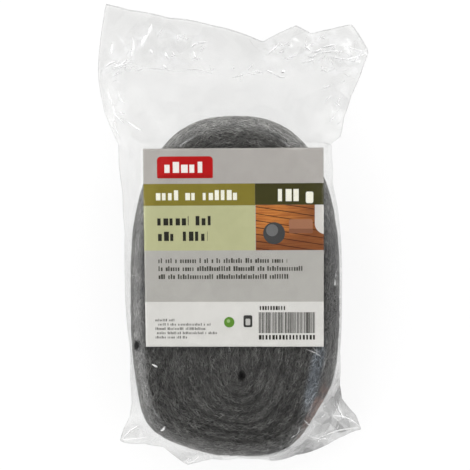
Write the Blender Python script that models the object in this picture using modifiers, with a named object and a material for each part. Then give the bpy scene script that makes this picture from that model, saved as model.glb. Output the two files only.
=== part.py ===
"""A roll of steel wool in a clear film bag, with a printed paper label under the film.

The pack lies on its back: +Z is up, out of the label, +Y runs to the loose flap of the bag.
The origin is on the floor, under the middle of the bag's outline. Sizes are in metres.
"""
import math

import bmesh
import bpy
import numpy as np
from mathutils import Vector

# The lengths in the edge rows below are given in this unit.
EDGE_UNIT = 0.001
# Pieces that touch keep this gap.
TOUCH_GAP = 0.0003

# The roll: a flattened oval coil, seen from its end face.
ROLL_WIDTH = 0.116
ROLL_LENGTH = 0.189
ROLL_HEIGHT = 0.050
ROLL_SHOULDER = 0.012
ROLL_TURNS = 9
ROLL_STEPS = 44
UPPER_SQUARENESS = 2.5
LOWER_SQUARENESS = 3.1
CORE_SQUARENESS = 2.2
CORE_WIDTH = 0.0026
CORE_LENGTH = 0.102
CORE_SHIFT_X = 0.003
TURN_GROOVE = 0.0018
TURN_UNEVENNESS = 0.0008
FIRST_TURN_SHARE = 0.01
LAST_GROOVE_SHARE = 0.94
LOOSE_END_SHARE = 0.97
WALL_INSET_SHARE = 0.03
# Where the roll's outline bulges out or is flattened: heading and spread in degrees, share of the reach.
OUTLINE_BULGES = ((236.0, 8.0, 0.044), (254.0, 9.0, -0.022), (301.0, 10.0, -0.072))

# The label: one paper sheet that rests on the roll.
LABEL_WIDTH = 0.100
LABEL_LENGTH = 0.110
LABEL_THICKNESS = 0.0003
LABEL_SHIFT_X = -0.001
LABEL_SHIFT_Y = 0.0218
LABEL_LIFT = 0.0005
LABEL_DROOP = 0.0022
LABEL_STIFFNESS = 0.65
LABEL_CELLS = 10

# The bag: two layers of film that meet in one edge all round.
FILM_THICKNESS = 0.0003
FILM_CLEARANCE = 0.0012
CORNER_SHOULDER = 0.006
CORNER_MARGIN = 0.003
CORNER_BLEND = 0.008
SIDE_EDGE_HEIGHT = 0.024
HEM_HEIGHT = 0.003
HEM_FALL_LENGTH = 0.012
HEM_WAVE = 0.003
SAG_POWER = 2.1
SAG_LENGTH = 0.035
FOLD_HEIGHT = 0.0032
FOLD_LENGTH = 0.040
FOLD_LEAST = 0.4
FLAT_MIDDLE_SHARE = 0.5
SMALLEST_REACH = 0.0016
EDGE_STEP = 0.0095
UPPER_BEND_RINGS = 4
UPPER_FREE_RINGS = 9
LOWER_BEND_RINGS = 3
LOWER_FREE_RINGS = 3
FOLD_SEED = 7

# The vent: one round hole punched through the film beside the label.
VENT_RADIUS = 0.0025
VENT_ANGLE = 191.7
VENT_TILT = 41.0
VENT_PUNCH_LENGTH = 0.006
VENT_SIDES = 20

# Where the film's edge lies beyond the roll, counter-clockwise from the right-hand side:
# (angle on the roll in degrees, reach outwards, shift along the roll's edge).
RIGHT_SIDE = ((0, 2.1, 0), (14, 2.5, 0), (28, 3.6, 0), (36, 4.6, 0), (41, 3.6, -1.0), (45, 3.0, -2.4))
FLAP_RIGHT = ((49, 16.0, -5.5), (53, 27.9, -2.8), (57, 39.4, -4.0), (61, 57.6, -6.3), (64, 64.4, -11.6))
FLAP_HEM = (
    (67.5, 71.6, -5.2), (74, 62.2, -12.9), (80, 54.4, -18.5), (84, 55.9, -19.3), (90, 43.9, -15.9),
    (95, 46.1, -19.7), (103, 52.0, -19.3), (112, 61.0, -20.1), (121, 71.6, -29.0), (125, 80.8, -32.8),
)
FLAP_LEFT = (
    (129, 63.6, -23.1), (133, 47.8, -14.7), (138.5, 23.3, -3.7), (142, 15.9, -3.1), (147, 14.4, -2.2),
)
LEFT_SIDE = ((155, 10.1, 0), (167, 5.2, 0), (180, 3.9, 0), (193, 1.7, 0), (203, 3.8, 0.1), (213, 4.7, -0.5))
LEFT_EAR = ((218, 8.0, 0), (222.5, 19.6, 1.8), (228, 10.4, 1.1), (235, 5.9, 3.5))
LOWER_EDGE = ((246, 11.5, 9.2), (256, 4.2, 11.4), (267, 2.7, 11.8), (278, 5.5, 3.9), (290, 8.0, 1.6))
RIGHT_EAR = ((303, 18.3, -0.6), (311, 24.4, 0.1), (317.5, 30.1, 5.5), (321, 22.7, 8.0), (326, 10.1, 5.2))
RIGHT_FOOT = ((335, 5.1, 0.2), (347, 2.0, 0))
EDGE_ROWS = (
    RIGHT_SIDE + FLAP_RIGHT + FLAP_HEM + FLAP_LEFT + LEFT_SIDE
    + LEFT_EAR + LOWER_EDGE + RIGHT_EAR + RIGHT_FOOT
)

FILM_BASE = FILM_THICKNESS
ROLL_BASE = FILM_BASE + TOUCH_GAP
ROLL_TOP = ROLL_BASE + ROLL_HEIGHT
LABEL_BASE = ROLL_TOP + LABEL_LIFT
FILM_TOP = LABEL_BASE + LABEL_THICKNESS + TOUCH_GAP


def squareness(angle):
    """The outline's exponent: the lower end of the roll is squarer than the upper end."""
    return UPPER_SQUARENESS if math.sin(angle) > 0.0 else LOWER_SQUARENESS


def rounded_box(angle, half_width, half_length, power):
    """A point on a rounded box outline round the roll's centre."""
    c = math.cos(angle)
    s = math.sin(angle)
    x = half_width * math.copysign(abs(c) ** (2.0 / power), c)
    y = half_length * math.copysign(abs(s) ** (2.0 / power), s)
    return np.array((x, y))


def outline_bulge(x, y):
    """How far the outline stands out or in towards this place, as a share of its reach."""
    heading = math.degrees(math.atan2(y, x)) % 360.0
    total = 0.0
    for middle, spread, share in OUTLINE_BULGES:
        total += share * math.exp(-(((heading - middle) / spread) ** 2))
    return total


def roll_outline(angle):
    point = rounded_box(angle, ROLL_WIDTH / 2, ROLL_LENGTH / 2, squareness(angle))
    return point * (1.0 + outline_bulge(point[0], point[1]))


def turn_point(angle, share):
    """A point on one of the roll's turns: share 0 is the core's slit, share 1 the outside."""
    inner = rounded_box(angle, CORE_WIDTH / 2, CORE_LENGTH / 2, CORE_SQUARENESS)
    inner[0] += CORE_SHIFT_X
    return inner * (1.0 - share) + roll_outline(angle) * share


def depth_inside(point):
    """How far a point lies inside the roll's outline, along the line from the roll's centre."""
    distance = math.hypot(point[0], point[1])
    if distance < 1e-6:
        return ROLL_WIDTH / 2
    power = UPPER_SQUARENESS if point[1] > 0.0 else LOWER_SQUARENESS
    across = abs(point[0] / distance) / (ROLL_WIDTH / 2)
    along = abs(point[1] / distance) / (ROLL_LENGTH / 2)
    reach = (across ** power + along ** power) ** (-1.0 / power)
    return reach * (1.0 + outline_bulge(point[0], point[1])) - distance


def shoulder_fall(depth):
    """How far the rounded shoulder has dropped at this depth inside the outline."""
    if depth >= ROLL_SHOULDER:
        return 0.0
    rest = ROLL_SHOULDER - max(depth, 0.0)
    return ROLL_SHOULDER - math.sqrt(max(ROLL_SHOULDER ** 2 - rest ** 2, 0.0))


def new_object(name, bm, collection, material):
    bmesh.ops.recalc_face_normals(bm, faces=bm.faces)
    mesh = bpy.data.meshes.new(name)
    bm.to_mesh(mesh)
    bm.free()
    made = bpy.data.objects.new(name, mesh)
    collection.objects.link(made)
    if material is not None:
        mesh.materials.append(material)
    return made


def add_solidify(target, thickness):
    """Gives a sheet its thickness on its outer side."""
    wall = target.modifiers.new("thickness", "SOLIDIFY")
    wall.thickness = thickness
    wall.offset = 1.0
    wall.use_even_offset = False


def loft(bm, first, second):
    """Joins two closed rings with the same number of points."""
    count = len(first)
    for i in range(count):
        j = (i + 1) % count
        bm.faces.new((first[i], first[j], second[j], second[i]))


def fan(bm, centre, ring):
    """Closes a ring with triangles round one middle point."""
    count = len(ring)
    for i in range(count):
        bm.faces.new((centre, ring[i], ring[(i + 1) % count]))


# Steel wool roll


def turn_share(step):
    """How far out the wound strip has come after this many steps.

    The first turn hardly moves out, so that the strip starts thin and the core's slit stays narrow.
    """
    wound = ROLL_TURNS * ROLL_STEPS
    if step <= ROLL_STEPS:
        return FIRST_TURN_SHARE * step / ROLL_STEPS
    if step <= wound:
        grown = (step - ROLL_STEPS) / (wound - ROLL_STEPS)
        return FIRST_TURN_SHARE + (LAST_GROOVE_SHARE - FIRST_TURN_SHARE) * grown
    rest = (step - wound) / ROLL_STEPS
    return LAST_GROOVE_SHARE + (LOOSE_END_SHARE - LAST_GROOVE_SHARE) * rest


def end_face_lines(bm, side, chance):
    """The grooves and the crests between the turns, on the upper (1) or lower (-1) end face."""
    middle = ROLL_BASE + ROLL_HEIGHT / 2
    bumps = chance.random_sample((2, (ROLL_TURNS + 1) * ROLL_STEPS + 1))

    def vertex(step, share, groove, bump):
        x, y = turn_point(2.0 * math.pi * step / ROLL_STEPS, share)
        low = shoulder_fall(depth_inside((x, y))) + groove + TURN_UNEVENNESS * bump
        return bm.verts.new((x, y, middle + side * (ROLL_HEIGHT / 2 - low)))

    last = ROLL_TURNS * ROLL_STEPS
    grooves = [
        vertex(i, turn_share(i), TURN_GROOVE if i <= last else 0.0, bumps[0, i])
        for i in range(last + ROLL_STEPS + 1)
    ]
    crests = [
        vertex(i, (turn_share(i) + turn_share(i + ROLL_STEPS)) / 2, 0.0, bumps[1, i])
        for i in range(last + 1)
    ]
    for i in range(last):
        bm.faces.new((grooves[i], grooves[i + 1], crests[i + 1], crests[i]))
        bm.faces.new((crests[i], crests[i + 1], grooves[i + 1 + ROLL_STEPS], grooves[i + ROLL_STEPS]))
    return grooves, crests


def wall_ring(bm, side):
    """One line round the roll's side wall, where the shoulder ends."""
    middle = ROLL_BASE + ROLL_HEIGHT / 2
    last = ROLL_TURNS * ROLL_STEPS
    ring = []
    for i in range(last, last + ROLL_STEPS + 1):
        share = turn_share(i) + WALL_INSET_SHARE
        x, y = turn_point(2.0 * math.pi * i / ROLL_STEPS, share)
        low = shoulder_fall(depth_inside((x, y)))
        ring.append(bm.verts.new((x, y, middle + side * (ROLL_HEIGHT / 2 - low))))
    return ring


def build_roll(collection, material):
    chance = np.random.RandomState(FOLD_SEED)
    bm = bmesh.new()
    last = ROLL_TURNS * ROLL_STEPS
    upper, upper_crests = end_face_lines(bm, 1, chance)
    lower, lower_crests = end_face_lines(bm, -1, chance)
    upper_wall = wall_ring(bm, 1)
    lower_wall = wall_ring(bm, -1)
    outer_upper = upper[last:] + [upper_crests[last]]
    outer_lower = lower[last:] + [lower_crests[last]]
    for i in range(ROLL_STEPS):
        bm.faces.new((outer_upper[i], outer_upper[i + 1], upper_wall[i + 1], upper_wall[i]))
        bm.faces.new((upper_wall[i], upper_wall[i + 1], lower_wall[i + 1], lower_wall[i]))
        bm.faces.new((lower_wall[i], lower_wall[i + 1], outer_lower[i + 1], outer_lower[i]))
    loose_end = (
        outer_upper[-1], outer_upper[0], upper_wall[0], lower_wall[0], outer_lower[0], outer_lower[-1],
        outer_lower[-2], lower_wall[-1], upper_wall[-1], outer_upper[-2],
    )
    bm.faces.new(loose_end)
    core_upper = upper[:ROLL_STEPS + 1] + [upper_crests[0]]
    core_lower = lower[:ROLL_STEPS + 1] + [lower_crests[0]]
    loft(bm, core_upper, core_lower)
    bmesh.ops.triangulate(bm, faces=[face for face in bm.faces if len(face.verts) > 4])
    return new_object("wool_roll", bm, collection, material)


# Paper label


def label_height(point):
    """The sheet lies flat on the roll and bends a little down over its shoulder."""
    fall = shoulder_fall(depth_inside(point))
    return LABEL_BASE - LABEL_DROOP * math.tanh(LABEL_STIFFNESS * fall / LABEL_DROOP)


def build_label(collection, material):
    bm = bmesh.new()
    bmesh.ops.create_grid(bm, x_segments=LABEL_CELLS, y_segments=LABEL_CELLS, size=0.5)
    for vertex in bm.verts:
        x = vertex.co.x * LABEL_WIDTH + LABEL_SHIFT_X
        y = vertex.co.y * LABEL_LENGTH + LABEL_SHIFT_Y
        vertex.co = (x, y, label_height((x, y)))
    label = new_object("label", bm, collection, material)
    add_solidify(label, LABEL_THICKNESS)
    return label


# Film bag


def label_reach(direction):
    """How far the label reaches from the roll's centre in this direction."""
    sizes = (LABEL_WIDTH / 2, LABEL_LENGTH / 2)
    shifts = (LABEL_SHIFT_X, LABEL_SHIFT_Y)
    reaches = [
        (shifts[k] + math.copysign(sizes[k], direction[k])) / direction[k]
        for k in (0, 1)
        if abs(direction[k]) > 1e-6
    ]
    return min(reaches)


def film_root(angle):
    """Where the film leaves what it wraps: the roll, or a label corner that stands out further.

    Gives the point, the direction out of the roll's centre and the radius the film bends round.
    """
    point = roll_outline(angle)
    reach = math.hypot(point[0], point[1])
    direction = point / reach
    over = label_reach(direction) - reach
    tighter = ROLL_SHOULDER - max(over + CORNER_BLEND, 0.0)
    bend = max(CORNER_SHOULDER, tighter)
    return point + direction * max(over + CORNER_MARGIN, 0.0), direction, bend


def outward(angle):
    """The direction straight out of the roll's outline."""
    step = 0.001
    along = roll_outline(angle + step) - roll_outline(angle - step)
    along = along / math.hypot(along[0], along[1])
    return np.array((along[1], -along[0]))


def edge_lines():
    """The lines that run from the roll to the film's edge, each with its angle, root and edge point."""
    rows = EDGE_ROWS + ((EDGE_ROWS[0][0] + 360, EDGE_ROWS[0][1], EDGE_ROWS[0][2]),)
    lines = []
    for here, there in zip(rows, rows[1:]):
        ends = [edge_point(row) for row in (here, there)]
        gap = math.hypot(*(ends[1] - ends[0]))
        parts = max(1, round(gap / EDGE_STEP))
        for k in range(parts):
            row = [a + (b - a) * k / parts for a, b in zip(here, there)]
            lines.append((math.radians(row[0]), edge_point(row)))
    return lines


def edge_point(row):
    """One point of the film's edge, kept at least a little outside the roll."""
    angle = math.radians(row[0])
    root = film_root(angle)[0]
    out = outward(angle)
    reach = max(row[1] * EDGE_UNIT, SMALLEST_REACH)
    return root + out * reach + np.array((-out[1], out[0])) * row[2] * EDGE_UNIT


def edge_height(reach, angle):
    """The edge stands halfway up beside the roll and sinks to the floor where the film runs free."""
    near = 1.0 / (1.0 + (reach / HEM_FALL_LENGTH) ** 2)
    wave = HEM_WAVE * (0.5 + 0.5 * math.sin(9.0 * angle)) * (1.0 - near) ** 2
    return HEM_HEIGHT + (SIDE_EDGE_HEIGHT - HEM_HEIGHT) * near + wave


def film_section(reach, edge_z, top_z, bend, bend_rings, free_rings):
    """The film's line from the flat top, round the shoulder and on to its edge.

    It is taut round the shoulder, then sags where it runs free. Gives the distances out and the
    heights, evenly spaced along the bend and then evenly spaced along the free film.
    """
    radius = bend
    centre_out = FILM_CLEARANCE - radius
    centre_z = top_z - radius
    power = 1.0 + (SAG_POWER - 1.0) * min(reach / SAG_LENGTH, 1.0)
    target = FILM_CLEARANCE + (reach - FILM_CLEARANCE) / power
    out = target - centre_out
    up = edge_z - centre_z
    turn = math.atan2(up, out) + math.acos(min(1.0, radius / math.hypot(out, up)))
    bent = np.linspace(math.pi / 2, turn, 12)
    distance = list(centre_out + radius * np.cos(bent))
    height = list(centre_z + radius * np.sin(bent))
    slope = (edge_z - height[-1]) / max(target - distance[-1], 1e-6)
    leave = height[-1] + slope * (FILM_CLEARANCE - distance[-1])
    for share in np.linspace(0.0, 1.0, 24):
        distance.append(FILM_CLEARANCE + (reach - FILM_CLEARANCE) * share)
        height.append(edge_z + (leave - edge_z) * (1.0 - share) ** power)
    length = np.concatenate(([0.0], np.cumsum(np.hypot(np.diff(distance), np.diff(height)))))
    bent_length = length[len(bent) - 1]
    wanted = np.concatenate((
        np.linspace(0.0, bent_length, bend_rings + 1),
        np.linspace(bent_length, length[-1], free_rings + 1)[1:],
    ))
    return np.interp(wanted, length, distance), np.interp(wanted, length, height)


def film_layer(lines, lifts, side, bend_rings, free_rings):
    """One layer's rings of points, from its flat middle out to the film's edge."""
    layer = [[] for _ in range(bend_rings + free_rings + 1)]
    for (angle, edge), lift in zip(lines, lifts):
        root, direction, bend = film_root(angle)
        away = edge - root
        reach = math.hypot(away[0], away[1])
        edge_z = edge_height(reach, angle)
        flat = FILM_TOP if side > 0 else -FILM_BASE
        distance, height = film_section(reach, side * edge_z, flat, bend, bend_rings, free_rings)
        for k in range(len(layer)):
            if distance[k] <= 0.0:
                plan = root + direction * distance[k]
            else:
                plan = root + away * distance[k] / reach
            run = max(distance[k] / reach, 0.0)
            fold = lift * min(reach / FOLD_LENGTH, 1.0) ** 2 * math.sin(math.pi * run)
            layer[k].append((plan[0], plan[1], side * height[k] + fold))
    return layer


def build_bag(collection, material):
    lines = edge_lines()
    chance = np.random.RandomState(FOLD_SEED)
    heights = FOLD_LEAST + (1.0 - FOLD_LEAST) * chance.random_sample(len(lines))
    lifts = [FOLD_HEIGHT * height * (i % 2) for i, height in enumerate(heights)]
    bm = bmesh.new()
    edge = None
    layers = (
        (film_layer(lines, lifts, 1, UPPER_BEND_RINGS, UPPER_FREE_RINGS), FILM_TOP),
        (film_layer(lines, lifts, -1, LOWER_BEND_RINGS, LOWER_FREE_RINGS), FILM_BASE),
    )
    for layer, flat in layers:
        made = [[bm.verts.new(point) for point in ring] for ring in layer[:-1]]
        edge = edge or [bm.verts.new(point) for point in layer[-1]]
        half = [
            bm.verts.new((p[0] * FLAT_MIDDLE_SHARE, p[1] * FLAT_MIDDLE_SHARE, flat)) for p in layer[0]
        ]
        fan(bm, bm.verts.new((0.0, 0.0, flat)), half)
        for first, second in zip([half] + made, made + [edge]):
            loft(bm, first, second)
    bag = new_object("bag", bm, collection, material)
    add_solidify(bag, FILM_THICKNESS)
    return bag


def punch_vent(bag, cutters):
    """Cuts the vent hole through the upper layer with a short round punch."""
    angle = math.radians(VENT_ANGLE)
    root, direction, bend = film_root(angle)
    lean = math.radians(VENT_TILT)
    plan = root + direction * (bend * math.sin(lean) + FILM_CLEARANCE - bend)
    place = Vector((plan[0], plan[1], FILM_TOP - bend + bend * math.cos(lean)))
    out = outward(angle)
    axis = Vector((out[0] * math.sin(lean), out[1] * math.sin(lean), math.cos(lean)))
    bm = bmesh.new()
    bmesh.ops.create_cone(
        bm,
        cap_ends=True,
        segments=VENT_SIDES,
        radius1=VENT_RADIUS,
        radius2=VENT_RADIUS,
        depth=VENT_PUNCH_LENGTH,
    )
    bmesh.ops.rotate(bm, verts=bm.verts, matrix=axis.to_track_quat("Z", "Y").to_matrix())
    bmesh.ops.translate(bm, verts=bm.verts, vec=place)
    punch = new_object("vent_punch", bm, cutters, None)
    punch.hide_render = True
    punch.display_type = "WIRE"
    cut = bag.modifiers.new("vent", "BOOLEAN")
    cut.operation = "DIFFERENCE"
    cut.solver = "EXACT"
    cut.object = punch
    return punch


def move_to_origin(objects, bag):
    """Puts the middle of the bag's outline over the origin and its underside on the floor."""
    shape = bag.evaluated_get(bpy.context.evaluated_depsgraph_get())
    corners = [Vector(corner) for corner in shape.bound_box]
    middle_x = (min(c.x for c in corners) + max(c.x for c in corners)) / 2
    middle_y = (min(c.y for c in corners) + max(c.y for c in corners)) / 2
    floor = min(c.z for c in corners)
    for item in objects:
        for vertex in item.data.vertices:
            vertex.co -= Vector((middle_x, middle_y, floor))


def steel_material():
    material = bpy.data.materials.new("steel_wool")
    material.use_nodes = True
    surface = material.node_tree.nodes["Principled BSDF"]
    surface.inputs["Base Color"].default_value = (0.068, 0.066, 0.062, 1.0)
    surface.inputs["Metallic"].default_value = 0.6
    surface.inputs["Roughness"].default_value = 0.65
    return material


def paper_material():
    material = bpy.data.materials.new("label_paper")
    material.use_nodes = True
    surface = material.node_tree.nodes["Principled BSDF"]
    surface.inputs["Base Color"].default_value = (0.45, 0.44, 0.38, 1.0)
    surface.inputs["Metallic"].default_value = 0.0
    surface.inputs["Roughness"].default_value = 0.55
    return material


def film_material():
    material = bpy.data.materials.new("clear_film")
    material.use_nodes = True
    surface = material.node_tree.nodes["Principled BSDF"]
    surface.inputs["Base Color"].default_value = (0.86, 0.87, 0.87, 1.0)
    surface.inputs["Metallic"].default_value = 0.0
    surface.inputs["Roughness"].default_value = 0.12
    surface.inputs["Alpha"].default_value = 0.22
    return material


def main():
    for item in list(bpy.data.objects):
        bpy.data.objects.remove(item, do_unlink=True)
    parts = bpy.data.collections.new("steel_wool_bundle")
    cutters = bpy.data.collections.new("cutters")
    bpy.context.scene.collection.children.link(parts)
    bpy.context.scene.collection.children.link(cutters)
    cutters.hide_render = True
    roll = build_roll(parts, steel_material())
    label = build_label(parts, paper_material())
    bag = build_bag(parts, film_material())
    punch = punch_vent(bag, cutters)
    move_to_origin((roll, label, bag, punch), bag)


main()
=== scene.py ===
import math

import bmesh
import bpy
import numpy as np
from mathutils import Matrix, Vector
from mathutils.bvhtree import BVHTree


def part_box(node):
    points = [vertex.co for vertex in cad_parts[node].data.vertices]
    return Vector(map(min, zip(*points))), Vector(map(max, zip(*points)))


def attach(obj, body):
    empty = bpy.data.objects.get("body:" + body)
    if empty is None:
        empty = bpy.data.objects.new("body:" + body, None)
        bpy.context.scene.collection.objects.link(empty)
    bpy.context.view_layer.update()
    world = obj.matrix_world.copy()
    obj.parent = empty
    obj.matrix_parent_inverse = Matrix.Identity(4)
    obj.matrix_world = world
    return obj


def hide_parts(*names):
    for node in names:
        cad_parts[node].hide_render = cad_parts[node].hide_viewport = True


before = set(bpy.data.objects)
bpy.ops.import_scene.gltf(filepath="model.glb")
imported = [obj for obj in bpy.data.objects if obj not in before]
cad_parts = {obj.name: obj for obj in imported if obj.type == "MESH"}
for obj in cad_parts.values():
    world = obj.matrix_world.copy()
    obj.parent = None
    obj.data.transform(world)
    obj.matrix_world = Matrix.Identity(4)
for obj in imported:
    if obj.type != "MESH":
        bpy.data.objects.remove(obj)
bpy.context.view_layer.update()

bl_info = {
    "name": "Steel wool bundle",
    "version": (1, 0, 0),
    "blender": (4, 5, 0),
    "location": "3D View > Sidebar > Steel wool",
    "description": "A roll of steel wool with a printed label in a clear film bag",
    "category": "Add Mesh",
}

LABEL_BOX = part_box("label")

# Sizes and shares that the part's source gives, in metres and degrees.
ROLL_WIDTH = 0.116
ROLL_LENGTH = 0.189
ROLL_HEIGHT = 0.050
ROLL_SHOULDER = 0.012
ROLL_TURNS = 9
UPPER_SQUARENESS = 2.5
LOWER_SQUARENESS = 3.1
CORE_SQUARENESS = 2.2
CORE_WIDTH = 0.0026
CORE_LENGTH = 0.102
CORE_SHIFT_X = 0.003
FIRST_TURN_SHARE = 0.01
LAST_GROOVE_SHARE = 0.94
LABEL_WIDTH = 0.100
LABEL_LENGTH = 0.110
LABEL_SHIFT_X = -0.001
LABEL_SHIFT_Y = 0.0218
LABEL_LIFT = 0.0005
LABEL_THICKNESS = 0.0003
LABEL_DROOP = 0.0022
LABEL_STIFFNESS = 0.65
FILM_CLEARANCE = 0.0012
CORNER_SHOULDER = 0.006
CORNER_MARGIN = 0.003
CORNER_BLEND = 0.008
SIDE_EDGE_HEIGHT = 0.024
HEM_HEIGHT = 0.003
HEM_FALL_LENGTH = 0.012
HEM_WAVE = 0.003
SAG_POWER = 2.1
SAG_LENGTH = 0.035
SMALLEST_REACH = 0.0016
VENT_ANGLE = 191.7
VENT_TILT = 41.0

# Heights above the floor, with the gap that touching pieces keep.
TOUCH_GAP = 0.0003
FILM_BASE = 0.0003
ROLL_BASE = FILM_BASE + TOUCH_GAP
ROLL_TOP = ROLL_BASE + ROLL_HEIGHT
LABEL_BASE = ROLL_TOP + LABEL_LIFT
FILM_TOP = LABEL_BASE + LABEL_THICKNESS + TOUCH_GAP

# The dark hole where the winding ends and the spot behind the vent, from the roll's centre; at both the
# steel is painted dark as shade.
HOLE_X = 0.0037
HOLE_Y = -0.0495
VENT_SHADE_X = -0.0538
VENT_SHADE_Y = -0.0330

# The roll's centre in the frame, read from where the label lies.
CENTRE_X = (LABEL_BOX[0][0] + LABEL_BOX[1][0]) / 2 - LABEL_SHIFT_X
CENTRE_Y = (LABEL_BOX[0][1] + LABEL_BOX[1][1]) / 2 - LABEL_SHIFT_Y

# Where the roll's outline bulges or is flattened: (heading in degrees, spread, share of the reach).
OUTLINE_BULGES = ((236.0, 8.0, 0.044), (254.0, 9.0, -0.022), (301.0, 10.0, -0.072))

# The same for the ribbon and the loose fibres, which round these places off a little.
LOOSE_BULGES = ((236.0, 8.0, 0.030), (254.0, 9.0, -0.022), (302.0, 11.0, -0.050))

# The film's edge: (angle on the roll in degrees, reach outwards in mm, shift along the edge in mm).
EDGE_ROWS = (
    (0, 2.1, 0), (14, 2.5, 0), (28, 3.6, 0), (36, 4.6, 0), (41, 3.6, -1.0), (45, 3.0, -2.4),
    (49, 16.0, -5.5), (53, 27.9, -2.8), (57, 39.4, -4.0), (61, 57.6, -6.3), (64, 64.4, -11.6),
    (67.5, 71.6, -5.2), (74, 62.2, -12.9), (80, 54.4, -18.5), (84, 55.9, -19.3), (90, 43.9, -15.9),
    (95, 46.1, -19.7), (103, 52.0, -19.3), (112, 61.0, -20.1), (121, 71.6, -29.0), (125, 80.8, -32.8),
    (129, 63.6, -23.1), (133, 47.8, -14.7), (138.5, 23.3, -3.7), (142, 15.9, -3.1), (147, 14.4, -2.2),
    (155, 10.1, 0), (167, 5.2, 0), (180, 3.9, 0), (193, 1.7, 0), (203, 3.8, 0.1), (213, 4.7, -0.5),
    (218, 8.0, 0), (222.5, 19.6, 1.8), (228, 10.4, 1.1), (235, 5.9, 3.5),
    (246, 11.5, 9.2), (256, 4.2, 11.4), (267, 2.7, 11.8), (278, 5.5, 3.9), (290, 8.0, 1.6),
    (303, 18.3, -0.6), (311, 24.4, 0.1), (317.5, 30.1, 5.5), (321, 22.7, 8.0), (326, 10.1, 5.2),
    (335, 5.1, 0.2), (347, 2.0, 0),
)


def colour_property(name, description, default):
    return bpy.props.FloatVectorProperty(
        name=name, description=description, default=default, size=3, min=0.0, max=1.0, subtype="COLOR"
    )


class WoolSettings(bpy.types.PropertyGroup):
    """The roll of steel wool and its loose fibres."""

    steps: bpy.props.IntProperty(
        name="Steps per turn", description="Sections of the ribbon in one turn", default=150, min=24
    )
    groove: bpy.props.FloatProperty(
        name="Groove", description="Depth between two turns", default=0.0012, unit="LENGTH"
    )
    gap: bpy.props.FloatProperty(
        name="Gap", description="Share of a turn's width left open beside it", default=0.03,
        subtype="FACTOR",
    )
    uneven: bpy.props.FloatProperty(
        name="Unevenness", description="How far the turns stand up unevenly", default=0.0007, unit="LENGTH"
    )
    face_fibres: bpy.props.IntProperty(
        name="Face fibres", description="Loose fibres on the upper end face", default=13500, min=0
    )
    side_fibres: bpy.props.IntProperty(
        name="Side fibres", description="Loose fibres round the roll's side", default=13500, min=0
    )
    fibre: bpy.props.FloatProperty(
        name="Fibre width", description="Width of one fibre", default=0.00024, unit="LENGTH"
    )
    dark: colour_property("Dark steel", "Steel in the shade of its fibres", (0.020, 0.020, 0.019))
    light: colour_property("Light steel", "Steel where the fibres catch light", (0.17, 0.167, 0.16))
    strand: colour_property("Strand", "Loose fibres", (0.380, 0.377, 0.363))
    rust: colour_property("Rust", "Brown tinge low on the right-hand side", (0.42, 0.27, 0.23))
    # Painted reflection: the colour of the film's bluish sheen, laid on the steel.
    blue: colour_property("Bluish", "Sheen beside the brown tinge", (0.80, 0.88, 1.0))


class LabelSettings(bpy.types.PropertyGroup):
    """The paper label's sheet and its printed fields."""

    cells: bpy.props.IntProperty(name="Cells", description="Cells along the sheet", default=90, min=8)
    thickness: bpy.props.FloatProperty(
        name="Thickness", description="Modelled thickness of the paper", default=0.0002, unit="LENGTH"
    )
    wave: bpy.props.FloatProperty(
        name="Wave", description="Height of the sheet's slight waves", default=0.00012, unit="LENGTH"
    )
    grey: colour_property("Grey", "Upper band and middle field", (0.42, 0.41, 0.385))
    white: colour_property("Off-white", "Lower field", (0.66, 0.65, 0.625))
    olive: colour_property("Olive", "Wide band", (0.215, 0.178, 0.024))
    dark_olive: colour_property("Dark olive", "Narrow band and dark words", (0.046, 0.043, 0.008))
    green: colour_property("Pale green", "Field beside the picture", (0.455, 0.46, 0.262))
    red: colour_property("Red", "Badge", (0.44, 0.002, 0.003))


class FilmSettings(bpy.types.PropertyGroup):
    """The clear film bag."""

    columns: bpy.props.IntProperty(name="Columns", description="Points round the bag", default=380, min=60)
    thickness: bpy.props.FloatProperty(
        name="Thickness", description="Modelled thickness of the film", default=0.00015, unit="LENGTH"
    )
    crumple: bpy.props.FloatProperty(
        name="Crumple", description="Height of the film's crumples", default=1.0, min=0.0, max=2.0
    )
    folds: bpy.props.IntProperty(name="Folds", description="Short extra folds", default=160, min=0)
    vent: bpy.props.FloatProperty(
        name="Vent", description="Radius of the vent hole", default=0.0025, unit="LENGTH"
    )
    tint: colour_property("Tint", "What one face of the film lets through", (0.991, 0.991, 0.989))


class StageSettings(bpy.types.PropertyGroup):
    """Floor, lamps and camera."""

    floor: bpy.props.FloatProperty(
        name="Floor", description="Width of the floor", default=6.0, unit="LENGTH"
    )
    distance: bpy.props.FloatProperty(
        name="Camera distance", description="From the label to the camera", default=1.5, unit="LENGTH"
    )
    picture: bpy.props.FloatProperty(
        name="Picture width", description="Width that the picture shows at the label", default=0.25944,
        unit="LENGTH",
    )


def settings(name):
    return getattr(bpy.context.scene, name)


# Shape of the roll


def squareness(sine):
    return np.where(sine > 0.0, UPPER_SQUARENESS, LOWER_SQUARENESS)


def rounded_box(angle, half_width, half_length, power):
    """Points on a rounded box outline round the roll's centre."""
    c = np.cos(angle)
    s = np.sin(angle)
    x = half_width * np.sign(c) * np.abs(c) ** (2.0 / power)
    y = half_length * np.sign(s) * np.abs(s) ** (2.0 / power)
    return np.stack((x, y), axis=-1)


def outline_bulge(x, y, bulges):
    """How far the roll's outline stands out or in, as a share of its reach, in this direction."""
    heading = np.degrees(np.arctan2(y, x)) % 360.0
    share = np.zeros(heading.shape)
    for middle, spread, amount in bulges:
        share += amount * np.exp(-((heading - middle) / spread) ** 2)
    return share


def roll_outline(angle, bulges=LOOSE_BULGES):
    points = rounded_box(angle, ROLL_WIDTH / 2, ROLL_LENGTH / 2, squareness(np.sin(angle)))
    return points * (1.0 + outline_bulge(points[..., 0], points[..., 1], bulges))[..., None]


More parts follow.
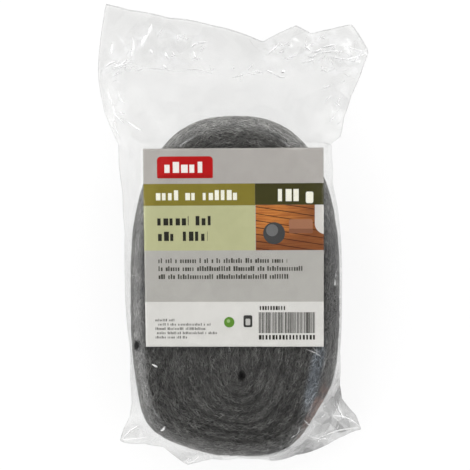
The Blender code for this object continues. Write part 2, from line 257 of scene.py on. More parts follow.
def turn_point(angle, share):
    """Points on the roll's turns: share 0 is the core's slit, share 1 the outside."""
    inner = rounded_box(angle, CORE_WIDTH / 2, CORE_LENGTH / 2, CORE_SQUARENESS)
    inner = inner + np.array((CORE_SHIFT_X, 0.0))
    share = np.asarray(share)[..., None]
    return inner * (1.0 - share) + roll_outline(angle) * share


def reach_of_roll(direction):
    """How far the roll reaches from its centre in each direction."""
    power = squareness(direction[..., 1])
    across = np.abs(direction[..., 0]) / (ROLL_WIDTH / 2)
    along = np.abs(direction[..., 1]) / (ROLL_LENGTH / 2)
    plain = (across ** power + along ** power) ** (-1.0 / power)
    return plain * (1.0 + outline_bulge(direction[..., 0], direction[..., 1], LOOSE_BULGES))


def depth_inside(points):
    """How far points lie inside the roll's outline, along the line from its centre."""
    distance = np.maximum(np.hypot(points[..., 0], points[..., 1]), 1e-6)
    return reach_of_roll(points / distance[..., None]) - distance


def shoulder_fall(depth):
    """How far the rounded shoulder has dropped at this depth inside the outline."""
    rest = np.clip(ROLL_SHOULDER - np.maximum(depth, 0.0), 0.0, ROLL_SHOULDER)
    return ROLL_SHOULDER - np.sqrt(ROLL_SHOULDER ** 2 - rest ** 2)


# The size that a sum of waves is divided by, so that it stays between about -1 and 1.
WAVE_SIZE = 1.4


def waves(x, y, seed, count, shortest, longest):
    """Smooth unevenness between about -1 and 1: a sum of plane waves in chance directions."""
    chance = np.random.RandomState(seed)
    total = np.zeros(np.broadcast(x, y).shape)
    for _ in range(count):
        turn = chance.uniform(0.0, math.pi)
        length = chance.uniform(shortest, longest)
        phase = chance.uniform(0.0, 2.0 * math.pi)
        total += np.sin(2.0 * math.pi * (x * math.cos(turn) + y * math.sin(turn)) / length + phase)
    return total / math.sqrt(count) / WAVE_SIZE


# How far the turns are bent sideways and lengthways, over what lengths, and how deep inside fully.
TURN_SHIFT = (0.0011, 0.0014)
TURN_SHIFT_LENGTHS = (0.028, 0.07)
TURN_SHIFT_DEPTH = 0.02


def shift_turns(points):
    """Bends the turns a little, as a hand-wound roll has them; the outline stays."""
    inside = np.clip(depth_inside(points) / TURN_SHIFT_DEPTH, 0.0, 1.0)
    x, y = points[..., 0], points[..., 1]
    dx = TURN_SHIFT[0] * waves(x, y, 11, 5, *TURN_SHIFT_LENGTHS) * inside
    dy = TURN_SHIFT[1] * waves(x, y, 12, 5, *TURN_SHIFT_LENGTHS) * inside
    return points + np.stack((dx, dy), axis=-1)


# Mesh help


def finished_mesh(name, bm):
    """Turns a bmesh into a mesh and frees it."""
    mesh = bpy.data.meshes.new(name)
    bm.to_mesh(mesh)
    bm.free()
    return mesh


def new_object(name, data):
    """A new object in the scene."""
    made = bpy.data.objects.new(name, data)
    bpy.context.scene.collection.objects.link(made)
    return made


def warped_grid(name, points, uv=None, values=None):
    """A grid mesh whose rows and columns take the given places, with a UV map and point values."""
    rows, columns = points.shape[:2]
    bm = bmesh.new()
    bmesh.ops.create_grid(bm, x_segments=columns - 1, y_segments=rows - 1, size=0.5)
    mesh = finished_mesh(name, bm)
    flat = np.empty(len(mesh.vertices) * 3)
    mesh.vertices.foreach_get("co", flat)
    flat = flat.reshape(-1, 3)
    i = np.rint((flat[:, 0] + 0.5) * (columns - 1)).astype(int)
    j = np.rint((flat[:, 1] + 0.5) * (rows - 1)).astype(int)
    mesh.vertices.foreach_set("co", points[j, i].ravel())
    if uv is not None:
        corner = np.empty(len(mesh.loops), dtype=int)
        mesh.loops.foreach_get("vertex_index", corner)
        layer = mesh.uv_layers.new(name="surface")
        layer.data.foreach_set("uv", uv[j[corner], i[corner]].ravel())
    for key, grid in (values or {}).items():
        made = mesh.attributes.new(key, "FLOAT", "POINT")
        made.data.foreach_set("value", grid[j, i].ravel())
    mesh.update()
    return mesh


def closed_mesh(name, meshes, merge=1e-6):
    """Joins meshes, merges their doubled points and turns the faces outwards."""
    bm = bmesh.new()
    for mesh in meshes:
        bm.from_mesh(mesh)
    bmesh.ops.remove_doubles(bm, verts=bm.verts, dist=merge)
    bmesh.ops.dissolve_degenerate(bm, edges=bm.edges, dist=1e-7)
    ends = [edge for edge in bm.edges if edge.is_boundary]
    if ends:
        bmesh.ops.holes_fill(bm, edges=ends, sides=0)
    bmesh.ops.recalc_face_normals(bm, faces=bm.faces)
    joined = finished_mesh(name, bm)
    for mesh in meshes:
        bpy.data.meshes.remove(mesh)
    return joined


def new_piece(name, mesh, material):
    """Puts a mesh, made about the roll's centre, into the frame as a piece."""
    flat = np.empty(len(mesh.vertices) * 3)
    mesh.vertices.foreach_get("co", flat)
    flat = flat.reshape(-1, 3) + np.array((CENTRE_X, CENTRE_Y, 0.0))
    mesh.vertices.foreach_set("co", flat.ravel())
    mesh.update()
    mesh.polygons.foreach_set("use_smooth", np.ones(len(mesh.polygons), dtype=bool))
    piece = new_object(name, mesh)
    mesh.materials.append(material)
    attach(piece, "root")
    return piece


def add_thickness(piece, thickness):
    """Gives a sheet its thickness on its outer side."""
    wall = piece.modifiers.new("thickness", "SOLIDIFY")
    wall.thickness = thickness
    wall.offset = 1.0


# Material help


def new_material(name):
    material = bpy.data.materials.new(name)
    material.use_nodes = True
    return material, material.node_tree, material.node_tree.nodes["Principled BSDF"]


def node(tree, kind, inputs=None, **options):
    made = tree.nodes.new(kind)
    for key, value in options.items():
        setattr(made, key, value)
    for key, value in (inputs or {}).items():
        if isinstance(value, bpy.types.NodeSocket):
            tree.links.new(value, made.inputs[key])
        else:
            made.inputs[key].default_value = value
    return made


def calc(tree, operation, first, second=None, third=None, clamp=False):
    values = {k: v for k, v in enumerate((first, second, third)) if v is not None}
    return node(tree, "ShaderNodeMath", values, operation=operation, use_clamp=clamp).outputs[0]


def blend(tree, factor, first, second):
    """Mixes two colours."""
    inputs = {0: factor}
    for key, colour in ((6, first), (7, second)):
        inputs[key] = colour if isinstance(colour, bpy.types.NodeSocket) else (*colour, 1.0)
    return node(tree, "ShaderNodeMix", inputs, data_type="RGBA").outputs[2]


def product(tree, *values):
    """Multiplies values with each other."""
    total = values[0]
    for value in values[1:]:
        total = calc(tree, "MULTIPLY", total, value)
    return total


def scaled(tree, colour, factors):
    return node(tree, "ShaderNodeVectorMath", {0: colour, 1: factors}, operation="MULTIPLY").outputs[0]


def ramp(tree, value, low, high):
    """Spreads a value between low and high to 0 and 1."""
    made = node(
        tree, "ShaderNodeMapRange",
        {"Value": value, "From Min": low, "From Max": high, "To Min": 0.0, "To Max": 1.0},
        interpolation_type="SMOOTHSTEP",
    )
    return made.outputs[0]


def noise(tree, place, scale, detail, roughness=0.5, distortion=0.0, seed=None):
    """The value of a noise texture; one with a seed is four-dimensional."""
    inputs = {"Vector": place, "Scale": scale, "Detail": detail, "Roughness": roughness}
    inputs["Distortion"] = distortion
    if seed is None:
        return node(tree, "ShaderNodeTexNoise", inputs).outputs[0]
    inputs["W"] = seed
    return node(tree, "ShaderNodeTexNoise", inputs, noise_dimensions="4D").outputs[0]


def attribute(tree, name):
    """The value of a mesh attribute."""
    made = node(tree, "ShaderNodeAttribute", attribute_name=name, attribute_type="GEOMETRY")
    return made.outputs["Fac"]


def sockets(kind, *labels):
    """Names and kind of a node group's sockets."""
    return tuple((label, "NodeSocket" + kind) for label in labels)


def group_tree(name, inputs, outputs):
    """A new shader node group with named sockets."""
    tree = bpy.data.node_groups.new(name, "ShaderNodeTree")
    for label, kind in inputs:
        tree.interface.new_socket(label, in_out="INPUT", socket_type=kind)
    for label, kind in outputs:
        tree.interface.new_socket(label, in_out="OUTPUT", socket_type=kind)
    start = tree.nodes.new("NodeGroupInput")
    end = tree.nodes.new("NodeGroupOutput")
    return tree, start.outputs, end.inputs


def use_group(tree, group, inputs):
    return node(tree, "ShaderNodeGroup", inputs, node_tree=group).outputs


def mix_surface(material, share, first, second):
    """Ends a material in a mix of two shaders."""
    tree = material.node_tree
    mixed = node(tree, "ShaderNodeMixShader", {0: share, 1: first.outputs[0], 2: second.outputs[0]})
    tree.links.new(mixed.outputs[0], tree.nodes["Material Output"].inputs["Surface"])


# Streaks of the matted fibres: turn against the ribbon, streaks a metre across and along it, seed.
STREAKS = ((0.0, 1500.0, 130.0, 1.0), (0.5, 1700.0, 210.0, 5.0), (-0.6, 1600.0, 190.0, 9.0))

# Shares of the streaks, of fine grain and of large patches, and the height where fibres turn light.
STREAK_SHARE = 0.6
GRAIN_SHARE = 0.45
PATCH_SHARE = 0.35
LIGHT_FROM = 0.56


def streak_group():
    """Matted fibres: streaks along the ribbon crossed by finer ones, as a mask and a height."""
    tree, start, end = group_tree(
        "matted_fibres", sockets("Vector", "Surface", "Place"), sockets("Float", "Mask", "Height")
    )
    parts = []
    for turn, across, along, seed in STREAKS:
        laid = node(
            tree, "ShaderNodeMapping",
            {"Vector": start["Surface"], "Rotation": (0.0, 0.0, turn), "Scale": (along, across, 1.0)},
        )
        parts.append(noise(tree, laid.outputs[0], 1.0, 2.0, 0.6, seed=seed))
    grain = noise(tree, start["Place"], 900.0, 2.0, 0.7)
    patch = noise(tree, start["Place"], 75.0, 3.0, 0.6)
    crossed = calc(tree, "MAXIMUM", calc(tree, "MAXIMUM", parts[0], parts[1]), parts[2])
    mixed = calc(tree, "MULTIPLY_ADD", grain, GRAIN_SHARE, calc(tree, "MULTIPLY", crossed, STREAK_SHARE))
    mixed = calc(tree, "MULTIPLY_ADD", patch, PATCH_SHARE, mixed)
    tree.links.new(ramp(tree, mixed, LIGHT_FROM, 1.0), end["Mask"])
    tree.links.new(mixed, end["Height"])
    return tree


# Spots of painted shade in the steel, in the hole and behind the vent: middle, reach to each side, where
# the spot ends and is full, strength.
PAINTED_SHADE_SPOTS = (
    (HOLE_X, HOLE_Y, 0.0017, 0.0028, 1.6, 0.2, 0.85),
    (VENT_SHADE_X, VENT_SHADE_Y, 0.0021, 0.0031, 1.5, 0.6, 0.9),
)
SHADE_SPOT_COLOUR = (0.007, 0.007, 0.007)

# The steel's rust and its painted light, painted shade and painted bluish reflection, in metres from the
# roll's centre, heights from the floor. A pair that isn't a line or a slant goes from where each starts to
# where it is full. Gains are factors for the colour.
RUST_LINE = (0.0475, -0.054)
RUST_SLANT = (0.894, -0.447)
RUST_EDGE = (-0.0002, 0.0018)
RUST_UPPER_END = (-0.046, -0.060)
RUST_LOWER_END = (-0.092, -0.074)
RUST_HEIGHT = (0.018, 0.046)
RUST_WANDER = 0.030
RUST_STRENGTH = 0.9
RUST_SHARE = 0.45
RUST_GAIN = (1.55, 1.0, 0.85)
# Painted reflection: a lighter bluish strip where the film's sheen lies, beside the rust.
SHEEN_SLANT = -0.2
SHEEN_MIDDLE_Y = -0.0406
SHEEN_LEFT = (0.0406, 0.0448)
SHEEN_RIGHT = (0.0508, 0.0472)
SHEEN_UPPER_END = (-0.026, -0.040)
SHEEN_LOWER_END = (-0.076, -0.058)
SHEEN_GAIN = 2.7
# Painted light: the steel is lighter along the top edge, where its fibres catch the light, and along the
# left edge, where the film's sheen lies over it.
PAINTED_LIGHT_TOP = (0.073, 0.094)
PAINTED_LIGHT_TOP_CURVE = 9.0
PAINTED_LIGHT_LEFT = (-0.0465, -0.0545)
PAINTED_LIGHT_LEFT_STRENGTH = 0.22
PAINTED_LIGHT_GAIN = (1.7, 1.7, 1.68)
# Painted shade: the steel of the right-hand side wall is darkened as shade.
PAINTED_SHADE_EDGE = (0.0465, 0.0525)
PAINTED_SHADE_LOWER_END = (-0.040, -0.022)
PAINTED_SHADE_UPPER_END = (0.044, 0.018)
PAINTED_SHADE_HEIGHT = (0.022, 0.046)
PAINTED_SHADE_GAIN = (0.55, 0.55, 0.55)

# The brown is spotted: the values of its noise from which on it shows and is full.
RUST_SPOTS = (0.25, 0.60)


def painted_shade_spots(tree, x, y):
    """A mask of the oval spots of painted shade."""
    total = 0.0
    for middle_x, middle_y, half_x, half_y, ends, full, strength in PAINTED_SHADE_SPOTS:
        aside = calc(tree, "POWER", calc(tree, "DIVIDE", calc(tree, "SUBTRACT", x, middle_x), half_x), 2.0)
        along = calc(tree, "POWER", calc(tree, "DIVIDE", calc(tree, "SUBTRACT", y, middle_y), half_y), 2.0)
        spot = product(tree, ramp(tree, calc(tree, "ADD", aside, along), ends, full), strength)
        total = calc(tree, "MAXIMUM", total, spot)
    return total


def rust_mask(tree, start, x, y, z, wander):
    """Where the steel is brown: beyond a slanted line low on the right, with uneven ends."""
    aside = product(tree, calc(tree, "SUBTRACT", x, RUST_LINE[0]), RUST_SLANT[0])
    beyond = calc(tree, "ADD", aside, product(tree, calc(tree, "SUBTRACT", y, RUST_LINE[1]), RUST_SLANT[1]))
    across = calc(tree, "ADD", y, wander)
    spots = noise(tree, start["Place"], 160.0, 2.0)
    return product(
        tree, ramp(tree, beyond, *RUST_EDGE), ramp(tree, across, *RUST_UPPER_END),
        ramp(tree, across, *RUST_LOWER_END), ramp(tree, calc(tree, "ADD", z, wander), *RUST_HEIGHT),
        ramp(tree, spots, *RUST_SPOTS),
    )


def rust_and_painted_light_group(values):
    """Colours the steel by its place: painted light along the top and left edges, painted shade on the
    right, a painted bluish reflection, brown rust and spots of painted shade.
    """
    tree, start, end = group_tree(
        "steel_rust_and_painted_light", sockets("Color", "Colour") + sockets("Vector", "Place"), sockets("Color", "Colour")
    )
    place = node(tree, "ShaderNodeSeparateXYZ", {"Vector": start["Place"]})
    x = calc(tree, "SUBTRACT", place.outputs[0], CENTRE_X)
    y = calc(tree, "SUBTRACT", place.outputs[1], CENTRE_Y)
    z = place.outputs[2]
    uneven = noise(tree, start["Place"], 55.0, 2.0)
    wander = calc(tree, "MULTIPLY_ADD", uneven, RUST_WANDER, -RUST_WANDER / 2)
    rust = rust_mask(tree, start, x, y, z, wander)
    # The mask of the painted bluish reflection.
    beside = calc(tree, "MULTIPLY_ADD", calc(tree, "SUBTRACT", y, SHEEN_MIDDLE_Y), SHEEN_SLANT, x)
    blue = product(
        tree, ramp(tree, beside, *SHEEN_LEFT), ramp(tree, beside, *SHEEN_RIGHT),
        ramp(tree, y, *SHEEN_UPPER_END), ramp(tree, y, *SHEEN_LOWER_END),
    )
    # The mask of painted light along the top and left edges.
    top = calc(tree, "MULTIPLY_ADD", calc(tree, "MULTIPLY", x, x), PAINTED_LIGHT_TOP_CURVE, y)
    left = product(tree, ramp(tree, x, *PAINTED_LIGHT_LEFT), PAINTED_LIGHT_LEFT_STRENGTH)
    loose = calc(tree, "MAXIMUM", ramp(tree, top, *PAINTED_LIGHT_TOP), left)
    # The mask of painted shade on the right-hand side wall.
    painted_right_shade = product(
        tree, ramp(tree, x, *PAINTED_SHADE_EDGE), ramp(tree, y, *PAINTED_SHADE_LOWER_END),
        ramp(tree, y, *PAINTED_SHADE_UPPER_END), ramp(tree, calc(tree, "ADD", z, wander), *PAINTED_SHADE_HEIGHT),
    )
    colour = blend(tree, loose, start["Colour"], scaled(tree, start["Colour"], PAINTED_LIGHT_GAIN))
    colour = blend(tree, painted_right_shade, colour, scaled(tree, colour, PAINTED_SHADE_GAIN))
    colour = blend(tree, blue, colour, scaled(tree, colour, tuple(SHEEN_GAIN * c for c in values.blue)))
    rusty = blend(tree, RUST_SHARE, scaled(tree, colour, RUST_GAIN), tuple(values.rust))
    colour = blend(tree, product(tree, rust, RUST_STRENGTH), colour, rusty)
    # Painted shade: the steel turns dark in the hole and behind the vent.
    colour = blend(tree, painted_shade_spots(tree, x, y), colour, SHADE_SPOT_COLOUR)
    tree.links.new(colour, end["Colour"])
    return tree


def steel_material(values, tinge):
    """Dark matted steel with lighter fibres."""
    material, tree, surface = new_material("steel_wool")
    coords = node(tree, "ShaderNodeTexCoord")
    places = {"Surface": coords.outputs["UV"], "Place": coords.outputs["Object"]}
    fibres = use_group(tree, streak_group(), places)
    colour = blend(tree, fibres["Mask"], tuple(values.dark), tuple(values.light))
    tinged = use_group(tree, tinge, {"Colour": colour, "Place": coords.outputs["Object"]})
    tree.links.new(tinged["Colour"], surface.inputs["Base Color"])
    surface.inputs["Metallic"].default_value = 0.4
    rough = calc(tree, "MULTIPLY_ADD", fibres["Mask"], -0.25, 0.75)
    tree.links.new(rough, surface.inputs["Roughness"])
    bump = node(tree, "ShaderNodeBump", {"Height": fibres["Height"], "Strength": 1.0, "Distance": 0.0014})
    tree.links.new(bump.outputs[0], surface.inputs["Normal"])
    return material


# Shares of the strand colour that the darkest and the lightest fibres have.
STRAND_TONES = (0.19, 1.04)


def strand_material(values, tinge):
    """Single fibres, each a little lighter or darker than the next."""
    material, tree, surface = new_material("steel_strand")
    coords = node(tree, "ShaderNodeTexCoord")
    low, high = (tuple(share * c for c in values.strand) for share in STRAND_TONES)
    colour = blend(tree, attribute(tree, "tone"), low, high)
    tinged = use_group(tree, tinge, {"Colour": colour, "Place": coords.outputs["Object"]})
    tree.links.new(tinged["Colour"], surface.inputs["Base Color"])
    surface.inputs["Metallic"].default_value = 0.35
    surface.inputs["Roughness"].default_value = 0.45
    return material


# Steel wool roll

# The part of a turn in which the ribbon's loose end comes out to the roll's outline.
LOOSE_END_TURNS = 0.06

# Points across the ribbon's upper and lower end.
UPPER_POINTS = 11
LOWER_POINTS = 7

# The width that the core's slit keeps once it is pinched shut, as a share.
CORE_PINCH = 0.03

# The pit where the winding ends: reach to each side and depth.
PIT_SIZE = (0.0016, 0.0026)
PIT_DEPTH = 0.005

# How the ribbon is rounded off towards its grooves, and the height of its side walls' points as a share.
CROWN_POWER = 2.6
SIDE_LEVEL = 0.35

# Chance shares of the groove's depth from turn to turn, and the share of the innermost grooves.
GROOVE_DEPTHS = (0.3, 1.3)
INNER_GROOVES = 3
INNER_DEPTH = 0.25

# Shares of the unevenness that come from bumps along the ribbon and from whole turns.
BUMP_SHARE = 0.55
LIFT_SHARE = 0.45


def turn_share(step, steps):
    """How far out the ribbon has come after this many steps of its winding."""
    wound = ROLL_TURNS * steps
    first = FIRST_TURN_SHARE * step / steps
    rise = LAST_GROOVE_SHARE - FIRST_TURN_SHARE
    grown = FIRST_TURN_SHARE + rise * (step - steps) / (wound - steps)
    late = np.clip((step - wound) / (LOOSE_END_TURNS * steps), 0.0, 1.0)
    loose = LAST_GROOVE_SHARE + (1.0 - LAST_GROOVE_SHARE) * late ** 0.5
    return np.where(step <= steps, first, np.where(step <= wound, grown, loose))


def ribbon_points(values):
    """The ribbon's sections along its winding: rows are steps, columns go round the section."""
    steps = values.steps
    count = ROLL_TURNS * steps + 1
    step = np.arange(count, dtype=float)[:, None]
    upper, lower = np.linspace(0, 1, UPPER_POINTS), np.linspace(1, 0, LOWER_POINTS)
    crown = np.concatenate((upper, (1, 1), lower, (0, 0)))[None, :]
    wall = (SIDE_LEVEL, -SIDE_LEVEL)
    level = np.concatenate((np.ones(UPPER_POINTS), wall, -np.ones(LOWER_POINTS), wall[::-1]))[None, :]
    across = values.gap + (1.0 - 2.0 * values.gap) * crown
    inner = turn_share(step, steps)
    outer = turn_share(step + steps, steps)
    share = inner + (outer - inner) * across
    angle = np.broadcast_to(2.0 * math.pi * step / steps, share.shape)
    plan = shift_turns(turn_point(angle, share))
    shut = CORE_SHIFT_X + CORE_PINCH * (plan[..., 0] - CORE_SHIFT_X)
    plan[..., 0] = np.where((crown == 0) & (step < steps), shut, plan[..., 0])
    chance = np.random.RandomState(3)
    lift = chance.uniform(-1.0, 1.0, ROLL_TURNS + 2)
    deep = chance.uniform(*GROOVE_DEPTHS, ROLL_TURNS + 2)
    deep[:INNER_GROOVES] = INNER_DEPTH
    turn = step[:, 0] / steps
    turn_lift = np.interp(turn, np.arange(ROLL_TURNS + 2), lift)[:, None]
    depth = values.groove * np.interp(turn, np.arange(ROLL_TURNS + 2), deep)[:, None]
    round_off = depth * np.abs(2.0 * crown - 1.0) ** CROWN_POWER
    x, y = plan[..., 0], plan[..., 1]
    bumps = BUMP_SHARE * waves(x, y, 21, 8, 0.006, 0.02) + LIFT_SHARE * turn_lift
    low = shoulder_fall(depth_inside(plan)) + round_off + values.uneven * (1.0 - bumps)
    pit = np.exp(-((x - HOLE_X) / PIT_SIZE[0]) ** 2 - ((y - HOLE_Y) / PIT_SIZE[1]) ** 2)
    low = np.maximum(low, 0.0) + PIT_DEPTH * pit
    z = ROLL_BASE + ROLL_HEIGHT / 2 + level * (ROLL_HEIGHT / 2 - low)
    points = np.stack((x, y, z), axis=-1)
    ahead = np.hypot(*np.moveaxis(np.diff(plan, axis=0), -1, 0))
    length = np.concatenate((np.zeros((1, 1)), np.cumsum(ahead.mean(axis=1))[:, None]))
    width = np.cumsum(np.linalg.norm(np.diff(points, axis=1, prepend=points[:, :1]), axis=-1), axis=1)
    uv = np.stack((np.broadcast_to(length, width.shape), width), axis=-1)
    close = np.concatenate((points, points[:, :1]), axis=1)
    last = uv[:, -1:] + np.array((0.0, 0.015))
    return close, np.concatenate((uv, last), axis=1)


def build_turns(values, material):
    points, uv = ribbon_points(values)
    mesh = closed_mesh("wool_turns", [warped_grid("wool_turns", points, uv)])
    piece = new_piece("wool_turns", mesh, material)
    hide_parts("wool_roll")


def strand_copies(count, stations):
    """Many copies of one small three-sided tube, with the station and the corner of each point."""
    bm = bmesh.new()
    bmesh.ops.create_cone(bm, cap_ends=True, segments=3, radius1=1.0, radius2=1.0, depth=1.0)
    upright = [edge for edge in bm.edges if abs(edge.verts[0].co.z - edge.verts[1].co.z) > 0.5]
    bmesh.ops.subdivide_edges(bm, edges=upright, cuts=stations - 2)
    one = finished_mesh("strand", bm)
    places = np.array([vertex.co for vertex in one.vertices])
    station = np.rint((places[:, 2] + 0.5) * (stations - 1)).astype(int)
    corner = np.arctan2(places[:, 1], places[:, 0]) - math.pi / 2
    tube = new_object("strand", one)
    copies = tube.modifiers.new("copies", "ARRAY")
    copies.count = count
    copies.use_relative_offset = False
    copies.use_constant_offset = True
    copies.constant_offset_displace = (0.0, 0.0, 2.0)
    mesh = bpy.data.meshes.new_from_object(tube.evaluated_get(bpy.context.evaluated_depsgraph_get()))
    bpy.data.objects.remove(tube)
    bpy.data.meshes.remove(one)
    return mesh, station, corner


# Strands: width at their ends as a share, the same for pointed ones, and how flat these are.
BLUNT_END = 0.35
POINTED_END = 0.12
POINTED_FLATNESS = 0.16


def thin_strands(name, paths, width, tones, material, pointed=False):
    """Closed three-sided strands that follow the paths; pointed ones are flat and swell midway."""
    count, stations = paths.shape[:2]
    ahead = np.gradient(paths, axis=1)
    ahead /= np.linalg.norm(ahead, axis=-1, keepdims=True)
    aside = np.cross(ahead, np.array((0.0, 0.0, 1.0)))
    aside /= np.maximum(np.linalg.norm(aside, axis=-1, keepdims=True), 1e-6)
    over = np.cross(ahead, aside)
    mesh, station, corner = strand_copies(count, stations)
    taper = np.where((station == 0) | (station == stations - 1), BLUNT_END, 1.0) / 2
    if pointed:
        swell = np.sin(math.pi * station / (stations - 1))
        taper = (POINTED_END + (1.0 - POINTED_END) * swell) / 2
        over = over * POINTED_FLATNESS
    spread = width[:, None, None] * taper[None, :, None]
    turned = np.cos(corner)[None, :, None] * aside[:, station]
    turned = turned + np.sin(corner)[None, :, None] * over[:, station]
    points = paths[:, station] + turned * spread
    mesh.vertices.foreach_set("co", points.ravel())
    tone = mesh.attributes.new("tone", "FLOAT", "POINT")
    tone.data.foreach_set("value", np.repeat(tones, len(station)))
    mesh.name = name
    new_piece(name, mesh, material)


# Sets of loose fibres: name and seed of those on the end face, and seed of those round the side.
FACE_SETS = (("wool_fibres_upper", 31), ("wool_fibres_crossed", 32))
SIDE_SEED = 33

# Fibres on the end face: places tried for one fibre, the outermost of them as a share of the way out,
# the percentile of the places' areas that counts as the largest, lengths, scatter of their heading and
# curvature.
PLACES_TRIED = 9
OUTERMOST_PLACE = 0.995
LARGEST_AREA = 97
FACE_LENGTHS = (0.0013, 0.0052)
FACE_SCATTER = 0.48
FACE_CURVE = 120.0

# Their heights: how far they sink in, a chance lift, the drop in a groove and the greatest arch.
FACE_SINK = 0.0004
FACE_LIFTS = (-0.0011, 0.0001)
GROOVE_DROP = 0.0005
FIBRE_ARCH = 0.0005

# Fibres round the side: lengths, scatter of their lean, curvature, how far they stand out, and how far
# their middles and their ends stay from the end faces.
SIDE_LENGTHS = (0.002, 0.008)
SIDE_SCATTER = 0.35
SIDE_CURVE = 60.0
SIDE_LIFTS = (-0.0004, 0.0003)
MIDDLE_CLEAR = 0.002
END_CLEAR = 0.001

# Chance shares of a fibre's width, and how the tones are spread towards dark; GROOVE_SHADE is painted
# shade that darkens fibres lying in a groove.
WIDTH_SHARES = (0.6, 1.3)
FACE_TONE_POWER = 1.5
SIDE_TONE_POWER = 1.6
BLOTCH = 0.42
GROOVE_SHADE = 0.9

# Half the width of a groove as a share of a turn, and chance shares of its depth.
GROOVE_WIDTH = 0.19
GROOVE_STRENGTHS = (0.45, 1.0)

# Where no fibres start: under the label, in the hole and at the outline.
LABEL_COVER = 0.003
HOLE_CLEAR = (0.0024, 0.0036)
OUTLINE_CLEAR = 0.0008


def groove_depth(angle, share):
    """How near a place on the end face lies to the groove between two turns, 0 to 1."""
    rise = LAST_GROOVE_SHARE - FIRST_TURN_SHARE
    turn = 1.0 + (share - FIRST_TURN_SHARE) / rise * (ROLL_TURNS - 1) - angle / (2.0 * math.pi)
    away = np.abs(turn - np.rint(turn))
    deep = np.random.RandomState(5).uniform(*GROOVE_STRENGTHS, ROLL_TURNS + 3)
    patch = np.clip(0.5 + 0.5 * waves(np.cos(angle), np.sin(angle), 51, 4, 0.8, 2.5), 0.0, 1.0)
    return np.exp(-((away / GROOVE_WIDTH) ** 2)) * deep[np.rint(turn).astype(int) + 1] * patch


def face_places(chance, count):
    """Chance places on the open parts of the end face, evenly spread: angles, shares and points."""
    angle = chance.uniform(0.0, 2.0 * math.pi, count * PLACES_TRIED)
    share = chance.uniform(0.0, OUTERMOST_PLACE, count * PLACES_TRIED)
    start = turn_point(angle, share)
    turned = turn_point(angle + 0.01, share) - start
    moved = turn_point(angle, share + 0.01) - start
    area = np.abs(turned[:, 0] * moved[:, 1] - turned[:, 1] * moved[:, 0])
    picked = chance.uniform(0.0, np.percentile(area, LARGEST_AREA), len(area)) < area
    aside = np.abs(start - np.array((LABEL_SHIFT_X, LABEL_SHIFT_Y)))
    hidden = (aside < np.array((LABEL_WIDTH, LABEL_LENGTH)) / 2 - LABEL_COVER).all(axis=-1)
    hole = np.hypot((start[:, 0] - HOLE_X) / HOLE_CLEAR[0], (start[:, 1] - HOLE_Y) / HOLE_CLEAR[1]) < 1.0
    inside = depth_inside(start) > OUTLINE_CLEAR
    keep = np.flatnonzero(picked & ~hidden & ~hole & inside)[:count]
    return angle[keep], share[keep], start[keep]


def face_strand_paths(count, seed):
    """Strands on the upper end face, mostly along the turns, with their tones, darker in the grooves as
    painted shade.
    """
    chance = np.random.RandomState(seed)
    angle, share, start = face_places(chance, count)
    found = len(start)
    along = turn_point(angle + 0.02, share) - turn_point(angle - 0.02, share)
    heading = np.arctan2(along[:, 1], along[:, 0]) + chance.normal(0.0, FACE_SCATTER, found)
    length = chance.uniform(*FACE_LENGTHS, found)
    bend = chance.normal(0.0, FACE_CURVE, found)
    t = np.linspace(-0.5, 0.5, 3)[None, :] * length[:, None]
    bow = 0.5 * bend[:, None] * t ** 2
    x = start[:, 0:1] + np.cos(heading)[:, None] * t - bow * np.sin(heading)[:, None]
    y = start[:, 1:2] + np.sin(heading)[:, None] * t + bow * np.cos(heading)[:, None]
    plan = np.stack((x, y), axis=-1)
    groove = groove_depth(angle, share)
    lift = chance.uniform(*FACE_LIFTS, found)[:, None] - GROOVE_DROP * groove[:, None]
    midway = 1.0 - (2.0 * t / length[:, None]) ** 2
    arch = FIBRE_ARCH * midway * chance.uniform(0.0, 1.0, found)[:, None]
    z = ROLL_TOP - shoulder_fall(depth_inside(plan)) - FACE_SINK + lift + arch
    blotch = 1.0 + BLOTCH * waves(start[:, 0], start[:, 1], 52, 7, 0.006, 0.022)
    tones = chance.uniform(0.0, 1.0, found) ** FACE_TONE_POWER * blotch * (1.0 - GROOVE_SHADE * groove)
    return np.concatenate((plan, z[..., None]), axis=-1), np.clip(tones, 0.0, 1.0), chance


def side_strand_paths(count, seed):
    """Strands round the roll's side wall and shoulders."""
    chance = np.random.RandomState(seed)
    angle = chance.uniform(0.0, 2.0 * math.pi, count)
    height = chance.uniform(-1.0, 1.0, count)
    lean = chance.normal(0.0, SIDE_SCATTER, count)
    length = chance.uniform(*SIDE_LENGTHS, count)
    bend = chance.normal(0.0, SIDE_CURVE, count)
    speed = np.linalg.norm(roll_outline(angle + 0.01) - roll_outline(angle - 0.01), axis=-1) / 0.02
    t = np.linspace(-0.5, 0.5, 3)[None, :] * length[:, None]
    around = angle[:, None] + t * np.cos(lean)[:, None] / np.maximum(speed, 0.02)[:, None]
    rise = t * np.sin(lean)[:, None] + 0.5 * bend[:, None] * t ** 2
    z = height[:, None] * (ROLL_HEIGHT / 2 - MIDDLE_CLEAR) + rise
    z = np.clip(z, -ROLL_HEIGHT / 2 + END_CLEAR, ROLL_HEIGHT / 2 - END_CLEAR)
    flat = ROLL_HEIGHT / 2 - ROLL_SHOULDER
    over = np.clip(np.abs(z) - flat, 0.0, ROLL_SHOULDER * 0.98)
    inset = ROLL_SHOULDER - np.sqrt(ROLL_SHOULDER ** 2 - over ** 2)
    out = chance.uniform(*SIDE_LIFTS, count)[:, None]
    outline = roll_outline(around)
    reach = np.linalg.norm(outline, axis=-1)
    plan = outline * ((reach - inset + out) / reach)[..., None]
    z = ROLL_BASE + ROLL_HEIGHT / 2 + z
    return np.concatenate((plan, z[..., None]), axis=-1), chance


